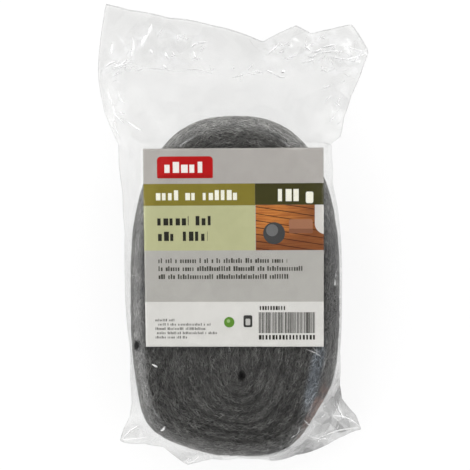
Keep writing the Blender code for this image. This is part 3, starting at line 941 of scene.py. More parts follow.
def build_strands(values, material):
    for name, seed in FACE_SETS:
        paths, tones, chance = face_strand_paths(values.face_fibres, seed)
        width = values.fibre * chance.uniform(*WIDTH_SHARES, len(paths))
        thin_strands(name, paths, width, tones, material)
    paths, chance = side_strand_paths(values.side_fibres, SIDE_SEED)
    width = values.fibre * chance.uniform(*WIDTH_SHARES, len(paths))
    tones = chance.uniform(0.0, 1.0, len(paths)) ** SIDE_TONE_POWER
    thin_strands("wool_fibres_side", paths, width, tones, material)


# Paper label


def label_height(points):
    fall = shoulder_fall(depth_inside(points))
    return LABEL_BASE - LABEL_DROOP * np.tanh(LABEL_STIFFNESS * fall / LABEL_DROOP)


# Half the width of print's soft edge.
PRINT_EDGE = 0.00012


def print_box_group():
    """A rectangle on the label: 1 inside, 0 outside, with round corners."""
    inputs = sockets("Vector", "Surface") + sockets("Float", "Left", "Right", "Bottom", "Top", "Corner")
    tree, start, end = group_tree("print_box", inputs, sockets("Float", "Mask"))
    place = node(tree, "ShaderNodeSeparateXYZ", {"Vector": start["Surface"]})
    sides = []
    for k, low, high in ((0, "Left", "Right"), (1, "Bottom", "Top")):
        middle = calc(tree, "MULTIPLY", calc(tree, "ADD", start[low], start[high]), 0.5)
        half = calc(tree, "MULTIPLY", calc(tree, "SUBTRACT", start[high], start[low]), 0.5)
        away = calc(tree, "ABSOLUTE", calc(tree, "SUBTRACT", place.outputs[k], middle))
        beyond = calc(tree, "SUBTRACT", calc(tree, "ADD", away, start["Corner"]), half)
        sides.append(beyond)
    clear = [calc(tree, "MAXIMUM", side, 0.0) for side in sides]
    square = calc(tree, "ADD", calc(tree, "POWER", clear[0], 2.0), calc(tree, "POWER", clear[1], 2.0))
    round_part = calc(tree, "SQRT", square)
    inner = calc(tree, "MINIMUM", calc(tree, "MAXIMUM", sides[0], sides[1]), 0.0)
    distance = calc(tree, "SUBTRACT", calc(tree, "ADD", round_part, inner), start["Corner"])
    tree.links.new(ramp(tree, distance, PRINT_EDGE, -PRINT_EDGE), end["Mask"])
    return tree


# Steps between seeds, and the factors that make two more chance values out of one.
SEED_STEP = 37.0
HEIGHT_FACTOR = 7.3
WIDTH_FACTOR = 31.7

# Blocks: narrowest share of a place, how much wider they get, and share of them that stays tall.
NARROWEST_BLOCK = 0.46
BLOCK_SPREAD = 0.36
TALL_BLOCKS = 0.4


def print_words_group(box):
    """A row of small blocks in the place of letters or bars, inside a box."""
    inputs = sockets("Vector", "Surface") + sockets(
        "Float", "Left", "Right", "Bottom", "Top", "Letter", "Seed", "Spaces", "Uneven"
    )
    tree, start, end = group_tree("print_words", inputs, sockets("Float", "Mask"))
    place = node(tree, "ShaderNodeSeparateXYZ", {"Vector": start["Surface"]})
    cell = calc(tree, "DIVIDE", calc(tree, "SUBTRACT", place.outputs[0], start["Left"]), start["Letter"])
    index = calc(tree, "FLOOR", cell)
    within = calc(tree, "FRACT", cell)
    number = calc(tree, "MULTIPLY_ADD", start["Seed"], SEED_STEP, index)
    pick = node(tree, "ShaderNodeTexWhiteNoise", {"W": number}, noise_dimensions="1D").outputs[0]
    tall = calc(tree, "FRACT", calc(tree, "MULTIPLY", pick, HEIGHT_FACTOR))
    wide = calc(tree, "FRACT", calc(tree, "MULTIPLY", pick, WIDTH_FACTOR))
    inked = calc(tree, "GREATER_THAN", pick, start["Spaces"])
    reach = calc(tree, "MULTIPLY_ADD", wide, BLOCK_SPREAD, NARROWEST_BLOCK)
    stroke = calc(tree, "LESS_THAN", within, reach)
    height = calc(tree, "SUBTRACT", start["Top"], start["Bottom"])
    cut = product(tree, calc(tree, "GREATER_THAN", tall, TALL_BLOCKS), height, start["Uneven"])
    top = calc(tree, "SUBTRACT", start["Top"], cut)
    area = use_group(
        tree, box,
        {"Surface": start["Surface"], "Left": start["Left"], "Right": start["Right"],
         "Bottom": start["Bottom"], "Top": top, "Corner": 0.0},
    )
    tree.links.new(product(tree, inked, stroke, area["Mask"]), end["Mask"])
    return tree


# The picture's boards: slant, width of a board, where they darken to the right and downwards, colours.
BOARD_SLANT = 0.16
BOARD_WIDTH = 0.0038
BOARD_SHADE_RIGHT = (0.070, 0.100)
BOARD_SHADE_DOWN = (0.080, 0.066)
BOARD_SHADE_STRENGTH = 0.75
BOARD_COLOURS = ((0.34, 0.10, 0.022), (0.60, 0.23, 0.05))
BOARD_SHADE_COLOUR = (0.14, 0.04, 0.016)
BOARD_JOINT_COLOUR = (0.06, 0.018, 0.008)


def print_boards(tree, surface):
    """Boards of orange-brown wood, darker towards the lower right, with dark joints."""
    place = node(tree, "ShaderNodeSeparateXYZ", {"Vector": surface})
    level = calc(tree, "MULTIPLY_ADD", place.outputs[0], BOARD_SLANT, place.outputs[1])
    joint = calc(tree, "PINGPONG", calc(tree, "DIVIDE", level, BOARD_WIDTH), 0.5)
    laid = node(
        tree, "ShaderNodeMapping",
        {"Vector": surface, "Rotation": (0.0, 0.0, -BOARD_SLANT), "Scale": (90.0, 1500.0, 1.0)},
    )
    grain = noise(tree, laid.outputs[0], 1.0, 3.0)
    wood = blend(tree, ramp(tree, grain, 0.3, 0.7), *BOARD_COLOURS)
    right = ramp(tree, place.outputs[0], *BOARD_SHADE_RIGHT)
    shade = calc(tree, "ADD", right, ramp(tree, level, *BOARD_SHADE_DOWN), clamp=True)
    wood = blend(tree, calc(tree, "MULTIPLY", shade, BOARD_SHADE_STRENGTH), wood, BOARD_SHADE_COLOUR)
    return blend(tree, ramp(tree, joint, 0.10, 0.02), wood, BOARD_JOINT_COLOUR)


# The label's place in the photograph, in pixels. The tables below give places in the same pixels.
LABEL_LEFT_PIXEL = 142.0
LABEL_TOP_PIXEL = 147.5
LABEL_PIXELS_ACROSS = 181.0
LABEL_PIXELS_DOWN = 199.0

# Printing inks beside those that the settings give.
INKS = {
    "upper_grey": (0.405, 0.385, 0.365),
    "cream": (0.84, 0.83, 0.72),
    "badge_cream": (0.84, 0.80, 0.77),
    "badge_shade": (0.36, 0.003, 0.004),
    "black": (0.018, 0.017, 0.012),
    "soft_black": (0.05, 0.049, 0.04),
    "thin_grey": (0.15, 0.15, 0.14),
    "picture_grey": (0.62, 0.60, 0.57),
    "brown": (0.34, 0.155, 0.085),
    "dark_brown": (0.23, 0.095, 0.05),
    "pad": (0.055, 0.055, 0.055),
    "pad_light": (0.15, 0.15, 0.15),
    "mark_green": (0.105, 0.25, 0.03),
    "mark_light": (0.30, 0.45, 0.18),
    "mark_dark": (0.04, 0.04, 0.038),
    "mark_paper": (0.50, 0.49, 0.47),
}

# Fields of colour: ink, left, top, right and bottom in pixels, corner radius in metres.
FIELDS_BELOW_PICTURE = (
    ("grey", 100, 120, 350, 301.5, 0.0), ("upper_grey", 100, 120, 350, 183, 0.0),
    ("olive", 100, 183, 254, 205, 0.0), ("dark_olive", 254, 183, 350, 204.6, 0.0),
    ("green", 100, 205, 254, 250, 0.0),
)
PICTURE_EDGES = (254.5, 204.6, 350, 250)
FIELDS_ABOVE_PICTURE = (
    ("picture_grey", 314, 190, 350, 234, 0.006), ("dark_olive", 305, 183, 350, 204.6, 0.0),
    ("brown", 288, 219, 312, 233, 0.0012), ("dark_brown", 288, 228.5, 312, 233, 0.0005),
    ("pad", 262, 222, 284, 244, 0.00605), ("pad_light", 265, 224, 277, 236, 0.0033),
    ("red", 156, 155.5, 212, 177.5, 0.0022), ("badge_shade", 156, 174.5, 212, 177.5, 0.0008),
    ("cream", 305, 191.5, 312.5, 203.0, 0.001), ("mark_green", 221.7, 316.7, 232.3, 327.3, 0.00292),
    ("mark_light", 224.5, 319, 228, 322.5, 0.00096), ("mark_dark", 241.5, 315, 250.5, 327, 0.001),
    ("mark_paper", 243.6, 318.5, 248.4, 325, 0.0006),
)

# Rows of blocks: ink, height in pixels, width of one block's place in metres, share of places left
# empty, share of the height that a short block lacks, and for each row its left, top and right in
# pixels and its seed.
WORDS = (
    ("badge_cream", 11.0, 0.0046, 0.0, 0.26, ((163.5, 161, 205, 21.0),)),
    ("cream", 10.0, 0.00335, 0.0, 0.28,
     ((154.5, 189.5, 178, 1.0), (184, 189.5, 196, 2.0), (201.5, 189.5, 237, 3.0))),
    ("cream", 12.2, 0.0043, 0.0, 0.0, ((277, 188.8, 299.5, 4.0),)),
    ("black", 9.4, 0.0034, 0.0, 0.24,
     ((155.5, 215.4, 187, 5.0), (194, 215.4, 212, 6.0), (156, 231.0, 174, 7.0), (181, 231.0, 206, 8.0))),
    ("soft_black", 4.8, 0.00135, 0.13, 0.24,
     ((156, 257.8, 286, 9.0), (156, 265.8, 302, 10.0), (156, 273.8, 288, 11.0))),
    ("thin_grey", 2.6, 0.00085, 0.13, 0.24,
     ((152, 318.5, 172, 12.0), (152, 322.8, 208, 13.0), (152, 327.1, 203, 14.0), (152, 331.4, 215, 15.0),
      (152, 335.7, 184, 16.0))),
    ("black", 4.0, 0.0015, 0.12, 0.0, ((258, 305.8, 284, 17.0),)),
    ("black", 4.6, 0.0019, 0.0, 0.0, ((257, 334.8, 314, 19.0),)),
    ("black", 21.0, 0.00082, 0.0, 0.0, ((257, 312, 314, 23.0),)),
)


def label_place(x, y):
    """A place on the label's sheet, in metres from its lower left corner, for a pixel."""
    across = (x - LABEL_LEFT_PIXEL) * LABEL_WIDTH / LABEL_PIXELS_ACROSS
    return across, LABEL_LENGTH - (y - LABEL_TOP_PIXEL) * LABEL_LENGTH / LABEL_PIXELS_DOWN


def label_edges(surface, x0, y0, x1, y1):
    """The inputs of a box between two pixels."""
    left, top = label_place(x0, y0)
    right, bottom = label_place(x1, y1)
    return {"Surface": surface, "Left": left, "Right": right, "Bottom": bottom, "Top": top}


def print_fields(tree, box, surface, under, inks, rows):
    """Prints fields of colour over what is under them."""
    for ink, x0, y0, x1, y1, corner in rows:
        inputs = dict(label_edges(surface, x0, y0, x1, y1), Corner=corner)
        under = blend(tree, use_group(tree, box, inputs)["Mask"], under, inks[ink])
    return under


def print_words(tree, words, surface, under, inks):
    """Prints the rows of blocks over what is under them."""
    for ink, height, letter, spaces, uneven, rows in WORDS:
        for x0, y0, x1, seed in rows:
            inputs = label_edges(surface, x0, y0, x1, y0 + height)
            inputs.update(Letter=letter, Seed=seed, Spaces=spaces, Uneven=uneven)
            under = blend(tree, use_group(tree, words, inputs)["Mask"], under, inks[ink])
    return under


def label_material(values):
    """Printed paper: fields of colour, blocks in place of words, stripes and a plain picture."""
    material, tree, shader = new_material("label_paper")
    shader.inputs["Specular IOR Level"].default_value = 0.15
    coords = node(tree, "ShaderNodeTexCoord")
    surface = coords.outputs["UV"]
    box = print_box_group()
    inks = {key: tuple(getattr(values, key)) for key in ("grey", "olive", "dark_olive", "green", "red")}
    inks.update(INKS)
    colour = print_fields(tree, box, surface, tuple(values.white), inks, FIELDS_BELOW_PICTURE)
    picture = use_group(tree, box, dict(label_edges(surface, *PICTURE_EDGES), Corner=0.0))["Mask"]
    colour = blend(tree, picture, colour, print_boards(tree, surface))
    colour = print_fields(tree, box, surface, colour, inks, FIELDS_ABOVE_PICTURE)
    colour = print_words(tree, print_words_group(box), surface, colour, inks)
    fleck = noise(tree, coords.outputs["Object"], 260.0, 4.0)
    worn = scaled(tree, colour, calc(tree, "MULTIPLY_ADD", fleck, 0.10, 0.95))
    tree.links.new(worn, shader.inputs["Base Color"])
    shader.inputs["Roughness"].default_value = 0.45
    bump = node(tree, "ShaderNodeBump", {"Height": fleck, "Strength": 0.15, "Distance": 0.0002})
    tree.links.new(bump.outputs[0], shader.inputs["Normal"])
    return material


# How far the label's left-hand corners are shifted, because it lies a little askew.
LOWER_LEFT_SHIFT = 0.0018
UPPER_LEFT_SHIFT = 0.0007


def build_label(values):
    cells = values.cells
    u = np.linspace(0.0, 1.0, cells + 1)[None, :]
    v = np.linspace(0.0, 1.0, cells + 1)[:, None]
    x = (u - 0.5) * LABEL_WIDTH + LABEL_SHIFT_X + 0.0 * v
    y = (v - 0.5) * LABEL_LENGTH + LABEL_SHIFT_Y + 0.0 * u
    x = x + LOWER_LEFT_SHIFT * (1.0 - u) * (1.0 - v)
    y = y - UPPER_LEFT_SHIFT * (1.0 - u) * v
    plan = np.stack((x, y), axis=-1)
    z = label_height(plan) + values.wave * (0.5 + 0.5 * waves(x, y, 41, 5, 0.02, 0.06))
    uv = np.stack(np.broadcast_arrays(u * LABEL_WIDTH, v * LABEL_LENGTH), axis=-1)
    mesh = warped_grid("label_sheet", np.stack((x, y, z), axis=-1), uv)
    piece = new_piece("label_sheet", mesh, label_material(values))
    add_thickness(piece, values.thickness)
    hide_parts("label")


# Film bag

# One millimetre, for the tables that are written in millimetres.
MM = 0.001

# Finer points between two rows of the edge table, and the weight of the film's inner line in spacing.
EDGE_SAMPLES = 24
INNER_WEIGHT = 0.8

# Waves of the hem round the bag.
HEM_WAVES = 9.0

# Points worked out along one section of the film: round its bend and from there to the edge.
BEND_SAMPLES = 24
FREE_SAMPLES = 48


def reach_of_label(direction):
    """How far the label reaches from the roll's centre in each direction."""
    safe = np.where(np.abs(direction) < 1e-6, 1e-6, direction)
    sizes = np.array((LABEL_WIDTH / 2, LABEL_LENGTH / 2))
    shifts = np.array((LABEL_SHIFT_X, LABEL_SHIFT_Y))
    return np.min((shifts + np.copysign(sizes, safe)) / safe, axis=-1)


def film_root(angle, bulges=LOOSE_BULGES):
    """Where the film leaves what it wraps, the direction there and the radius that it bends round."""
    point = roll_outline(angle, bulges)
    reach = np.linalg.norm(point, axis=-1)
    direction = point / reach[..., None]
    over = reach_of_label(direction) - reach
    bend = np.maximum(CORNER_SHOULDER, ROLL_SHOULDER - np.maximum(over + CORNER_BLEND, 0.0))
    return point + direction * np.maximum(over + CORNER_MARGIN, 0.0)[..., None], direction, bend


def edge_points(angle, reach, shift):
    """The film's edge at these angles."""
    root = film_root(angle, OUTLINE_BULGES)[0]
    along = roll_outline(angle + 0.001, OUTLINE_BULGES) - roll_outline(angle - 0.001, OUTLINE_BULGES)
    along = along / np.linalg.norm(along, axis=-1)[..., None]
    out = np.stack((along[..., 1], -along[..., 0]), axis=-1)
    aside = np.stack((-out[..., 1], out[..., 0]), axis=-1)
    return root + out * np.maximum(reach, SMALLEST_REACH)[..., None] + aside * shift[..., None]


def edge_columns(count):
    """Angles and edge points of the film's lines, evenly spaced along its edge."""
    rows = np.array(EDGE_ROWS + ((360.0, EDGE_ROWS[0][1], EDGE_ROWS[0][2]),), dtype=float)
    parts = [np.linspace(a, b, EDGE_SAMPLES, endpoint=False) for a, b in zip(rows, rows[1:])]
    fine = np.concatenate(parts + [rows[-1:]])
    angle = np.radians(fine[:, 0])
    edge = edge_points(angle, fine[:, 1] * MM, fine[:, 2] * MM)
    root = film_root(angle)[0]
    pace = np.hypot(*np.diff(edge, axis=0).T) + INNER_WEIGHT * np.hypot(*np.diff(root, axis=0).T)
    length = np.concatenate(([0.0], np.cumsum(pace)))
    wanted = np.linspace(0.0, length[-1], count + 1)
    angle = np.interp(wanted, length, angle)
    values = [np.interp(angle, np.radians(rows[:, 0]), rows[:, k] * MM) for k in (1, 2)]
    return angle, edge_points(angle, values[0], values[1])


def edge_height(reach, angle):
    near = 1.0 / (1.0 + (reach / HEM_FALL_LENGTH) ** 2)
    wave = HEM_WAVE * (0.5 + 0.5 * np.sin(HEM_WAVES * angle)) * (1.0 - near) ** 2
    return HEM_HEIGHT + (SIDE_EDGE_HEIGHT - HEM_HEIGHT) * near + wave


def film_section(reach, edge_z, top_z, bend, bend_rings, free_rings):
    """The film's line from the flat top round the shoulder to its edge: distances out and heights."""
    centre_out = FILM_CLEARANCE - bend
    centre_z = top_z - bend
    power = 1.0 + (SAG_POWER - 1.0) * min(reach / SAG_LENGTH, 1.0)
    target = FILM_CLEARANCE + (reach - FILM_CLEARANCE) / power
    out = target - centre_out
    up = edge_z - centre_z
    turn = math.atan2(up, out) + math.acos(min(1.0, bend / math.hypot(out, up)))
    bent = np.linspace(math.pi / 2, turn, BEND_SAMPLES)
    distance = list(centre_out + bend * np.cos(bent))
    height = list(centre_z + bend * np.sin(bent))
    slope = (edge_z - height[-1]) / max(target - distance[-1], 1e-6)
    leave = height[-1] + slope * (FILM_CLEARANCE - distance[-1])
    for share in np.linspace(0.0, 1.0, FREE_SAMPLES):
        distance.append(FILM_CLEARANCE + (reach - FILM_CLEARANCE) * share)
        height.append(edge_z + (leave - edge_z) * (1.0 - share) ** power)
    length = np.concatenate(([0.0], np.cumsum(np.hypot(np.diff(distance), np.diff(height)))))
    bent_length = length[len(bent) - 1]
    wanted = np.concatenate((
        np.linspace(0.0, bent_length, bend_rings + 1),
        np.linspace(bent_length, length[-1], free_rings + 1)[1:],
    ))
    return np.interp(wanted, length, distance), np.interp(wanted, length, height)


# Fold lines in the film, drawn whitish as whitened creases and painted glints, from the roll's centre in
# mm: start, end, half width.
FOLD_LINES = (
    (-47.4, 148.5, -49.6, 141.8, 1.2), (-49, 142.9, -53, 134.4, 1.5), (-58.1, 140.6, -59.2, 128.2, 0.9),
    (-69.3, 137.8, -69.9, 131.1, 0.9), (-73.8, 123.7, -67.1, 127.1, 0.8),
    (-69.3, 123.7, -60.9, 128.8, 0.8), (-66, 122.6, -59.8, 126, 0.7), (-47.9, 133.9, -46.8, 131.1, 0.9),
    (-39.5, 132.2, -37.8, 128.8, 0.9), (-35.5, 132.7, -33.8, 129.9, 0.7),
    (-40.6, 125.4, -37.8, 122.6, 0.8), (-23.7, 132.7, -22, 128.8, 0.8), (-25.4, 134.4, -21.4, 137.8, 0.6),
    (-21.4, 137.8, -15.8, 138.4, 0.6), (17.5, 130.5, 24.8, 136.7, 0.6), (20.3, 132.7, 27.6, 138.4, 0.5),
    (39.5, 136.1, 43.4, 132.7, 0.8), (43.4, 132.7, 49.6, 135, 0.8), (41.2, 129.9, 46.8, 131.6, 0.7),
    (49.6, 135, 58.1, 136.7, 0.7), (46.8, 131.6, 62, 132.7, 0.6), (53.6, 129.9, 75, 132.2, 0.6),
    (62, 136.1, 73.8, 132.7, 0.5), (59.2, 127.1, 73.8, 131.6, 0.5), (37.8, 126, 45.7, 128.2, 0.6),
    (17.5, 122, 22, 119.2, 0.7), (22, 119.2, 29.3, 118.1, 0.7), (27.1, 122, 28.2, 120.3, 1.4),
    (-1.7, 117.5, 6.2, 120.3, 0.4), (6.2, 120.3, 15.2, 120.3, 0.3), (-73.8, 120.3, -53.6, 123.2, 0.4),
    (-53.6, 123.2, -33.8, 120.9, 0.3), (-33.8, 120.9, -11.8, 119.2, 0.3),
    (-72.7, 112.5, -69.3, 102.3, 0.6), (-69.3, 102.3, -64.3, 93.3, 0.6), (-66, 110.2, -62, 102.3, 0.5),
    (-68.8, 94.4, -64.8, 83.1, 0.5), (-60.9, 92.7, -51.9, 86.5, 0.7), (52.4, 88.8, 58.1, 82, 0.6),
    (49, 86.5, 55.2, 78.6, 0.5), (54.7, -61.7, 71, -79.8, 0.7), (53.6, -73, 71, -80.3, 0.6),
    (46.8, -86, 71, -80.9, 0.6), (56.9, -64.6, 62, -75.8, 0.7), (39.5, -82.6, 53.6, -87.1, 0.5),
    (58.1, -52.1, 59.2, -60, 0.5), (-64.3, -87.7, -53, -77.5, 0.6), (-64.3, -87.7, -47.9, -84.8, 0.5),
    (-27.1, -100.6, -19.7, -95.6, 0.5), (-45.9, -42.9, -42.6, -44.5, 0.6),
    (-41.5, -79.9, -38.7, -77.1, 0.7), (38.7, -34.6, 48.1, -39, 0.25), (42.6, -32.9, 47, -36.8, 0.2),
)

# Where the film is crumpled, from the roll's centre in mm: middle, reach to each side, and then the
# columns of its strength and of the painted shade in its panels.
CRUMPLED = (
    (-42, 134, 28, 12, 0.8, 0.1), (-68, 124, 12, 10, 0.7, 0.1), (40, 134, 26, 10, 0.9, 0.08),
    (62, 128, 18, 10, 0.9, 0.10), (10, 121, 60, 5, 0.4, 0.1), (-66, 96, 7, 22, 0.5, 0.1),
    (58, 104, 12, 20, 0.4, 0.15), (-58, -84, 16, 10, 0.4, 0.3), (56, -80, 22, 14, 0.7, 1.0),
    (56, -62, 9, 15, 0.6, 1.3), (34, -92, 28, 14, 0.5, 1.1), (-25, -100, 28, 9, 0.3, 0.45),
    (62, -20, 5, 60, 0.4, 0.5), (-61, -30, 5, 50, 0.3, 0.3),
)
STRENGTH = 4
FACET_SHADE = 5
LEAST_CRUMPLED = 0.06

# Facets of the crumpled film: seed, count, shortest and longest, slope.
COARSE_FACETS = (101, 5, 0.02, 0.045, 0.026)
FINE_FACETS = (131, 6, 0.006, 0.013, 0.085)

# How far the facets' edges wander, and how far beyond the roll the film starts and is free to crumple.
FACET_WANDER = 0.004
FREE_START = 0.002
FREE_FADE = 0.012

# Rings in the film's flat middle, as shares of the way to the roll's outline, and for each layer its
# side, its rings round the bend and its rings from there to the edge.
INNER_RINGS = (0.5, 0.8)
FILM_LAYERS = ((1, 9, 48), (-1, 5, 20))


def crumpled(x, y, column):
    """How strongly the film is crumpled, or how much painted shade it has, at these places."""
    total = np.full(x.shape, LEAST_CRUMPLED)
    for row in CRUMPLED:
        away = ((x / MM - row[0]) / row[2]) ** 2 + ((y / MM - row[1]) / row[3]) ** 2
        total = np.maximum(total, row[column] * np.exp(-away))
    return total


def facets(x, y, seed, count, shortest, longest, slope):
    """Flat facets with sharp edges, as crumpled film has: folded waves in chance directions."""
    chance = np.random.RandomState(seed)
    total = np.zeros(x.shape)
    wx = x + FACET_WANDER * waves(x, y, seed + 50, 4, 0.03, 0.09)
    wy = y + FACET_WANDER * waves(x, y, seed + 60, 4, 0.03, 0.09)
    for k in range(count):
        turn = chance.uniform(0.0, math.pi)
        length = chance.uniform(shortest, longest)
        phase = chance.uniform()
        along = (wx * math.cos(turn) + wy * math.sin(turn)) / length + phase
        fold = np.abs(2.0 * (along - np.floor(along)) - 1.0)
        mask = np.clip(0.5 + 0.9 * waves(x, y, seed + 70 + k, 3, 0.03, 0.08), 0.0, 1.0)
        total += fold * length * 0.5 * slope * mask
    return total


def film_crumple(points, amount):
    """Moves one layer of the film by its facets."""
    x, y = points[..., 0], points[..., 1]
    beyond = -depth_inside(points[..., :2])
    free = np.clip((beyond - FREE_START) / FREE_FADE, 0.0, 1.0)
    coarse = facets(x, y, *COARSE_FACETS)
    fine = facets(x, y, *FINE_FACETS) * np.clip(crumpled(x, y, STRENGTH), 0.0, 1.0)
    moved = points.copy()
    moved[..., 2] += (coarse + fine) * free * amount
    return moved


def film_layer(angle, edge, side, bend_rings, free_rings, amount):
    """One layer of the film, rows from its flat middle to its edge, with its crumpling and its painted
    shade.
    """
    root, direction, bend = film_root(angle)
    away = edge - root
    reach = np.hypot(away[:, 0], away[:, 1])
    edge_z = edge_height(reach, angle)
    flat = FILM_TOP if side > 0 else -FILM_BASE
    rows = bend_rings + free_rings + 1
    points = np.zeros((rows, len(angle), 3))
    for c in range(len(angle)):
        distance, height = film_section(reach[c], side * edge_z[c], flat, bend[c], bend_rings, free_rings)
        inner = root[c] + direction[c] * distance[:, None]
        outer = root[c] + away[c] * distance[:, None] / reach[c]
        points[:, c, :2] = np.where(distance[:, None] <= 0.0, inner, outer)
        points[:, c, 2] = side * height
    points = film_crumple(points, amount)
    middle = []
    for share in INNER_RINGS:
        ring = points[0].copy()
        ring[:, :2] *= share
        middle.append(ring)
    points = np.concatenate((np.stack(middle), points))
    x, y = points[..., 0], points[..., 1]
    return points, crumpled(x, y, STRENGTH), crumpled(x, y, FACET_SHADE)


# The film's ripples: scale and seed of the two noises, share of the finer one, height.
RIPPLES = ((85.0, 1.0), (190.0, 4.0))
FINE_RIPPLE_SHARE = 0.15
RIPPLE_HEIGHT = 0.0028

# The film's gloss: its share face on, what turned edges add, how steeply that grows, and roughness.
GLOSS_LEAST = 0.036
GLOSS_TURNED = 0.35
GLOSS_POWER = 4.0
GLOSS_ROUGHNESS = 0.22

# Panels of painted shade on the crumpled film: scale, how far their edges wander, least and further tone,
# strength.
PANEL_SCALE = 105.0
PANEL_WANDER = 0.012
PANEL_LEAST = 0.15
PANEL_SPREAD = 0.7
PANEL_STRENGTH = 0.31

# Painted highlights, whitish patches where the film is crumpled: from which noise and which strength on,
# and lost gloss.
HIGHLIGHT_NOISE = (0.47, 0.60)
HIGHLIGHT_STRENGTH = (0.12, 0.55)
HIGHLIGHT_GLOSS_LOSS = 0.6


def film_bump(tree, place, strength):
    """The normal of rippled film."""
    heights = []
    for scale, seed in RIPPLES:
        ripple = noise(tree, place, scale, 1.0, distortion=0.6, seed=seed)
        heights.append(calc(tree, "ABSOLUTE", calc(tree, "SUBTRACT", ripple, 0.5)))
    height = calc(tree, "MULTIPLY_ADD", heights[1], FINE_RIPPLE_SHARE, heights[0])
    bump = node(tree, "ShaderNodeBump", {"Height": height, "Strength": strength, "Distance": RIPPLE_HEIGHT})
    return bump.outputs[0]


def film_panels(tree, place, painted_facet_shade):
    """How dark each small panel of painted shade on the film is."""
    shifted = node(tree, "ShaderNodeTexNoise", {"Vector": place, "Scale": 40.0, "Detail": 1.0})
    bent = node(
        tree, "ShaderNodeVectorMath",
        {0: shifted.outputs["Color"], 1: (PANEL_WANDER, PANEL_WANDER, PANEL_WANDER), 2: place},
        operation="MULTIPLY_ADD",
    )
    cells = {"Vector": bent.outputs[0], "Scale": PANEL_SCALE}
    panel = node(tree, "ShaderNodeTexVoronoi", cells, feature="F1")
    shade = node(tree, "ShaderNodeSeparateColor", {"Color": panel.outputs["Color"]}).outputs[0]
    return product(tree, calc(tree, "MULTIPLY_ADD", shade, PANEL_SPREAD, PANEL_LEAST), painted_facet_shade, PANEL_STRENGTH)


def film_material(values):
    """Thin clear film: see-through, with a gloss that grows towards its turned edges, painted highlights in
    whitish patches and painted shade in small panels.
    """
    material, tree, surface = new_material("clear_film")
    place = node(tree, "ShaderNodeTexCoord").outputs["Object"]
    strength = attribute(tree, "crumple")
    surface.inputs["Base Color"].default_value = (0.95, 0.95, 0.95, 1.0)
    surface.inputs["Metallic"].default_value = 1.0
    surface.inputs["Roughness"].default_value = GLOSS_ROUGHNESS
    tree.links.new(film_bump(tree, place, strength), surface.inputs["Normal"])
    facing = node(tree, "ShaderNodeLayerWeight", {"Blend": 0.5}).outputs["Facing"]
    turned = calc(tree, "POWER", facing, GLOSS_POWER)
    share = calc(tree, "MULTIPLY_ADD", turned, GLOSS_TURNED, GLOSS_LEAST, clamp=True)
    shade = film_panels(tree, place, attribute(tree, "painted_facet_shade"))
    # Painted highlights: whitish patches, with less gloss, where the film is crumpled.
    highlight_cloud = noise(tree, place, 95.0, 3.0, 0.6, 1.2)
    painted_highlight = product(tree, ramp(tree, highlight_cloud, *HIGHLIGHT_NOISE), ramp(tree, strength, *HIGHLIGHT_STRENGTH))
    share = product(tree, share, calc(tree, "MULTIPLY_ADD", painted_highlight, -HIGHLIGHT_GLOSS_LOSS, 1.0))
    tint = blend(tree, painted_highlight, tuple(values.tint), (1.0, 1.0, 1.0))
    # Painted shade: the panels darken what the film lets through.
    tint = blend(tree, shade, tint, (0.0, 0.0, 0.0))
    clear = node(tree, "ShaderNodeBsdfTransparent", {"Color": tint})
    mix_surface(material, share, clear, surface)
    return material


def fold_glint_material():
    """The film's sharp folds, drawn whitish: partly whitened creases that scatter light, partly painted
    glints.
    """
    material, tree, surface = new_material("film_fold")
    surface.inputs["Base Color"].default_value = (1.0, 1.0, 1.0, 1.0)
    surface.inputs["Roughness"].default_value = 0.3
    clear = node(tree, "ShaderNodeBsdfTransparent", {"Color": (1.0, 1.0, 1.0, 1.0)})
    front = calc(tree, "SUBTRACT", 1.0, node(tree, "ShaderNodeNewGeometry").outputs["Backfacing"])
    share = calc(tree, "MULTIPLY", attribute(tree, "tone"), front)
    mix_surface(material, share, clear, surface)
    return material


# How far round the vent hole, in radii, the film is divided more finely.
VENT_NEAR = 1.6


def open_vent(bm, radius):
    """Opens the vent hole beside the label and makes its rim round."""
    angle = np.radians(np.array([VENT_ANGLE]))
    lean = math.radians(VENT_TILT)
    root, direction, bend = film_root(angle)
    plan = root[0] + direction[0] * (bend[0] * math.sin(lean) + FILM_CLEARANCE - bend[0])
    centre = Vector((plan[0], plan[1], FILM_TOP - bend[0] + bend[0] * math.cos(lean)))
    near = [face for face in bm.faces if (face.calc_center_median() - centre).length < radius * VENT_NEAR]
    axis = Vector((0.0, 0.0, 0.0))
    for face in near:
        axis += face.normal
    axis.normalize()
    edges = list({edge for face in near for edge in face.edges})
    bmesh.ops.subdivide_edges(bm, edges=edges, cuts=3, use_grid_fill=True)
    inside = [face for face in bm.faces if (face.calc_center_median() - centre).length < radius]
    bmesh.ops.delete(bm, geom=inside, context="FACES")
    for vertex in bm.verts:
        if vertex.is_boundary:
            away = vertex.co - centre
            rise = axis * away.dot(axis)
            flat = away - rise
            vertex.co = centre + rise + flat * (radius / flat.length)


# Creases: points along one, greatest bend as a share of its length, height over the film, and the
# modelled half width for each millimetre of the table's.
CREASE_POINTS = 7
CREASE_BEND = 0.12
CREASE_LIFT = 0.0001
CREASE_WIDTH = 0.0012

# How strongly creases show, whitish as whitened film and as painted glints: chance shares, the chance
# creases' share, and by half width: base, growth for each metre and limit.
CREASE_TONES = (0.7, 1.0)
CHANCE_CREASE_TONE = 0.6
CREASE_TONE_BASE = 0.2
CREASE_TONE_GROWTH = 700.0
CREASE_TONE_LIMIT = 0.95

# Chance creases: scatter about a crumpled place, heading and its scatter, lengths and half widths in mm.
CREASE_SCATTER = 0.55
CREASE_HEADING = (0.9, 0.9)
CREASE_LENGTHS = (1.5, 6.0)
CREASE_HALF_WIDTHS = (0.2, 0.6)


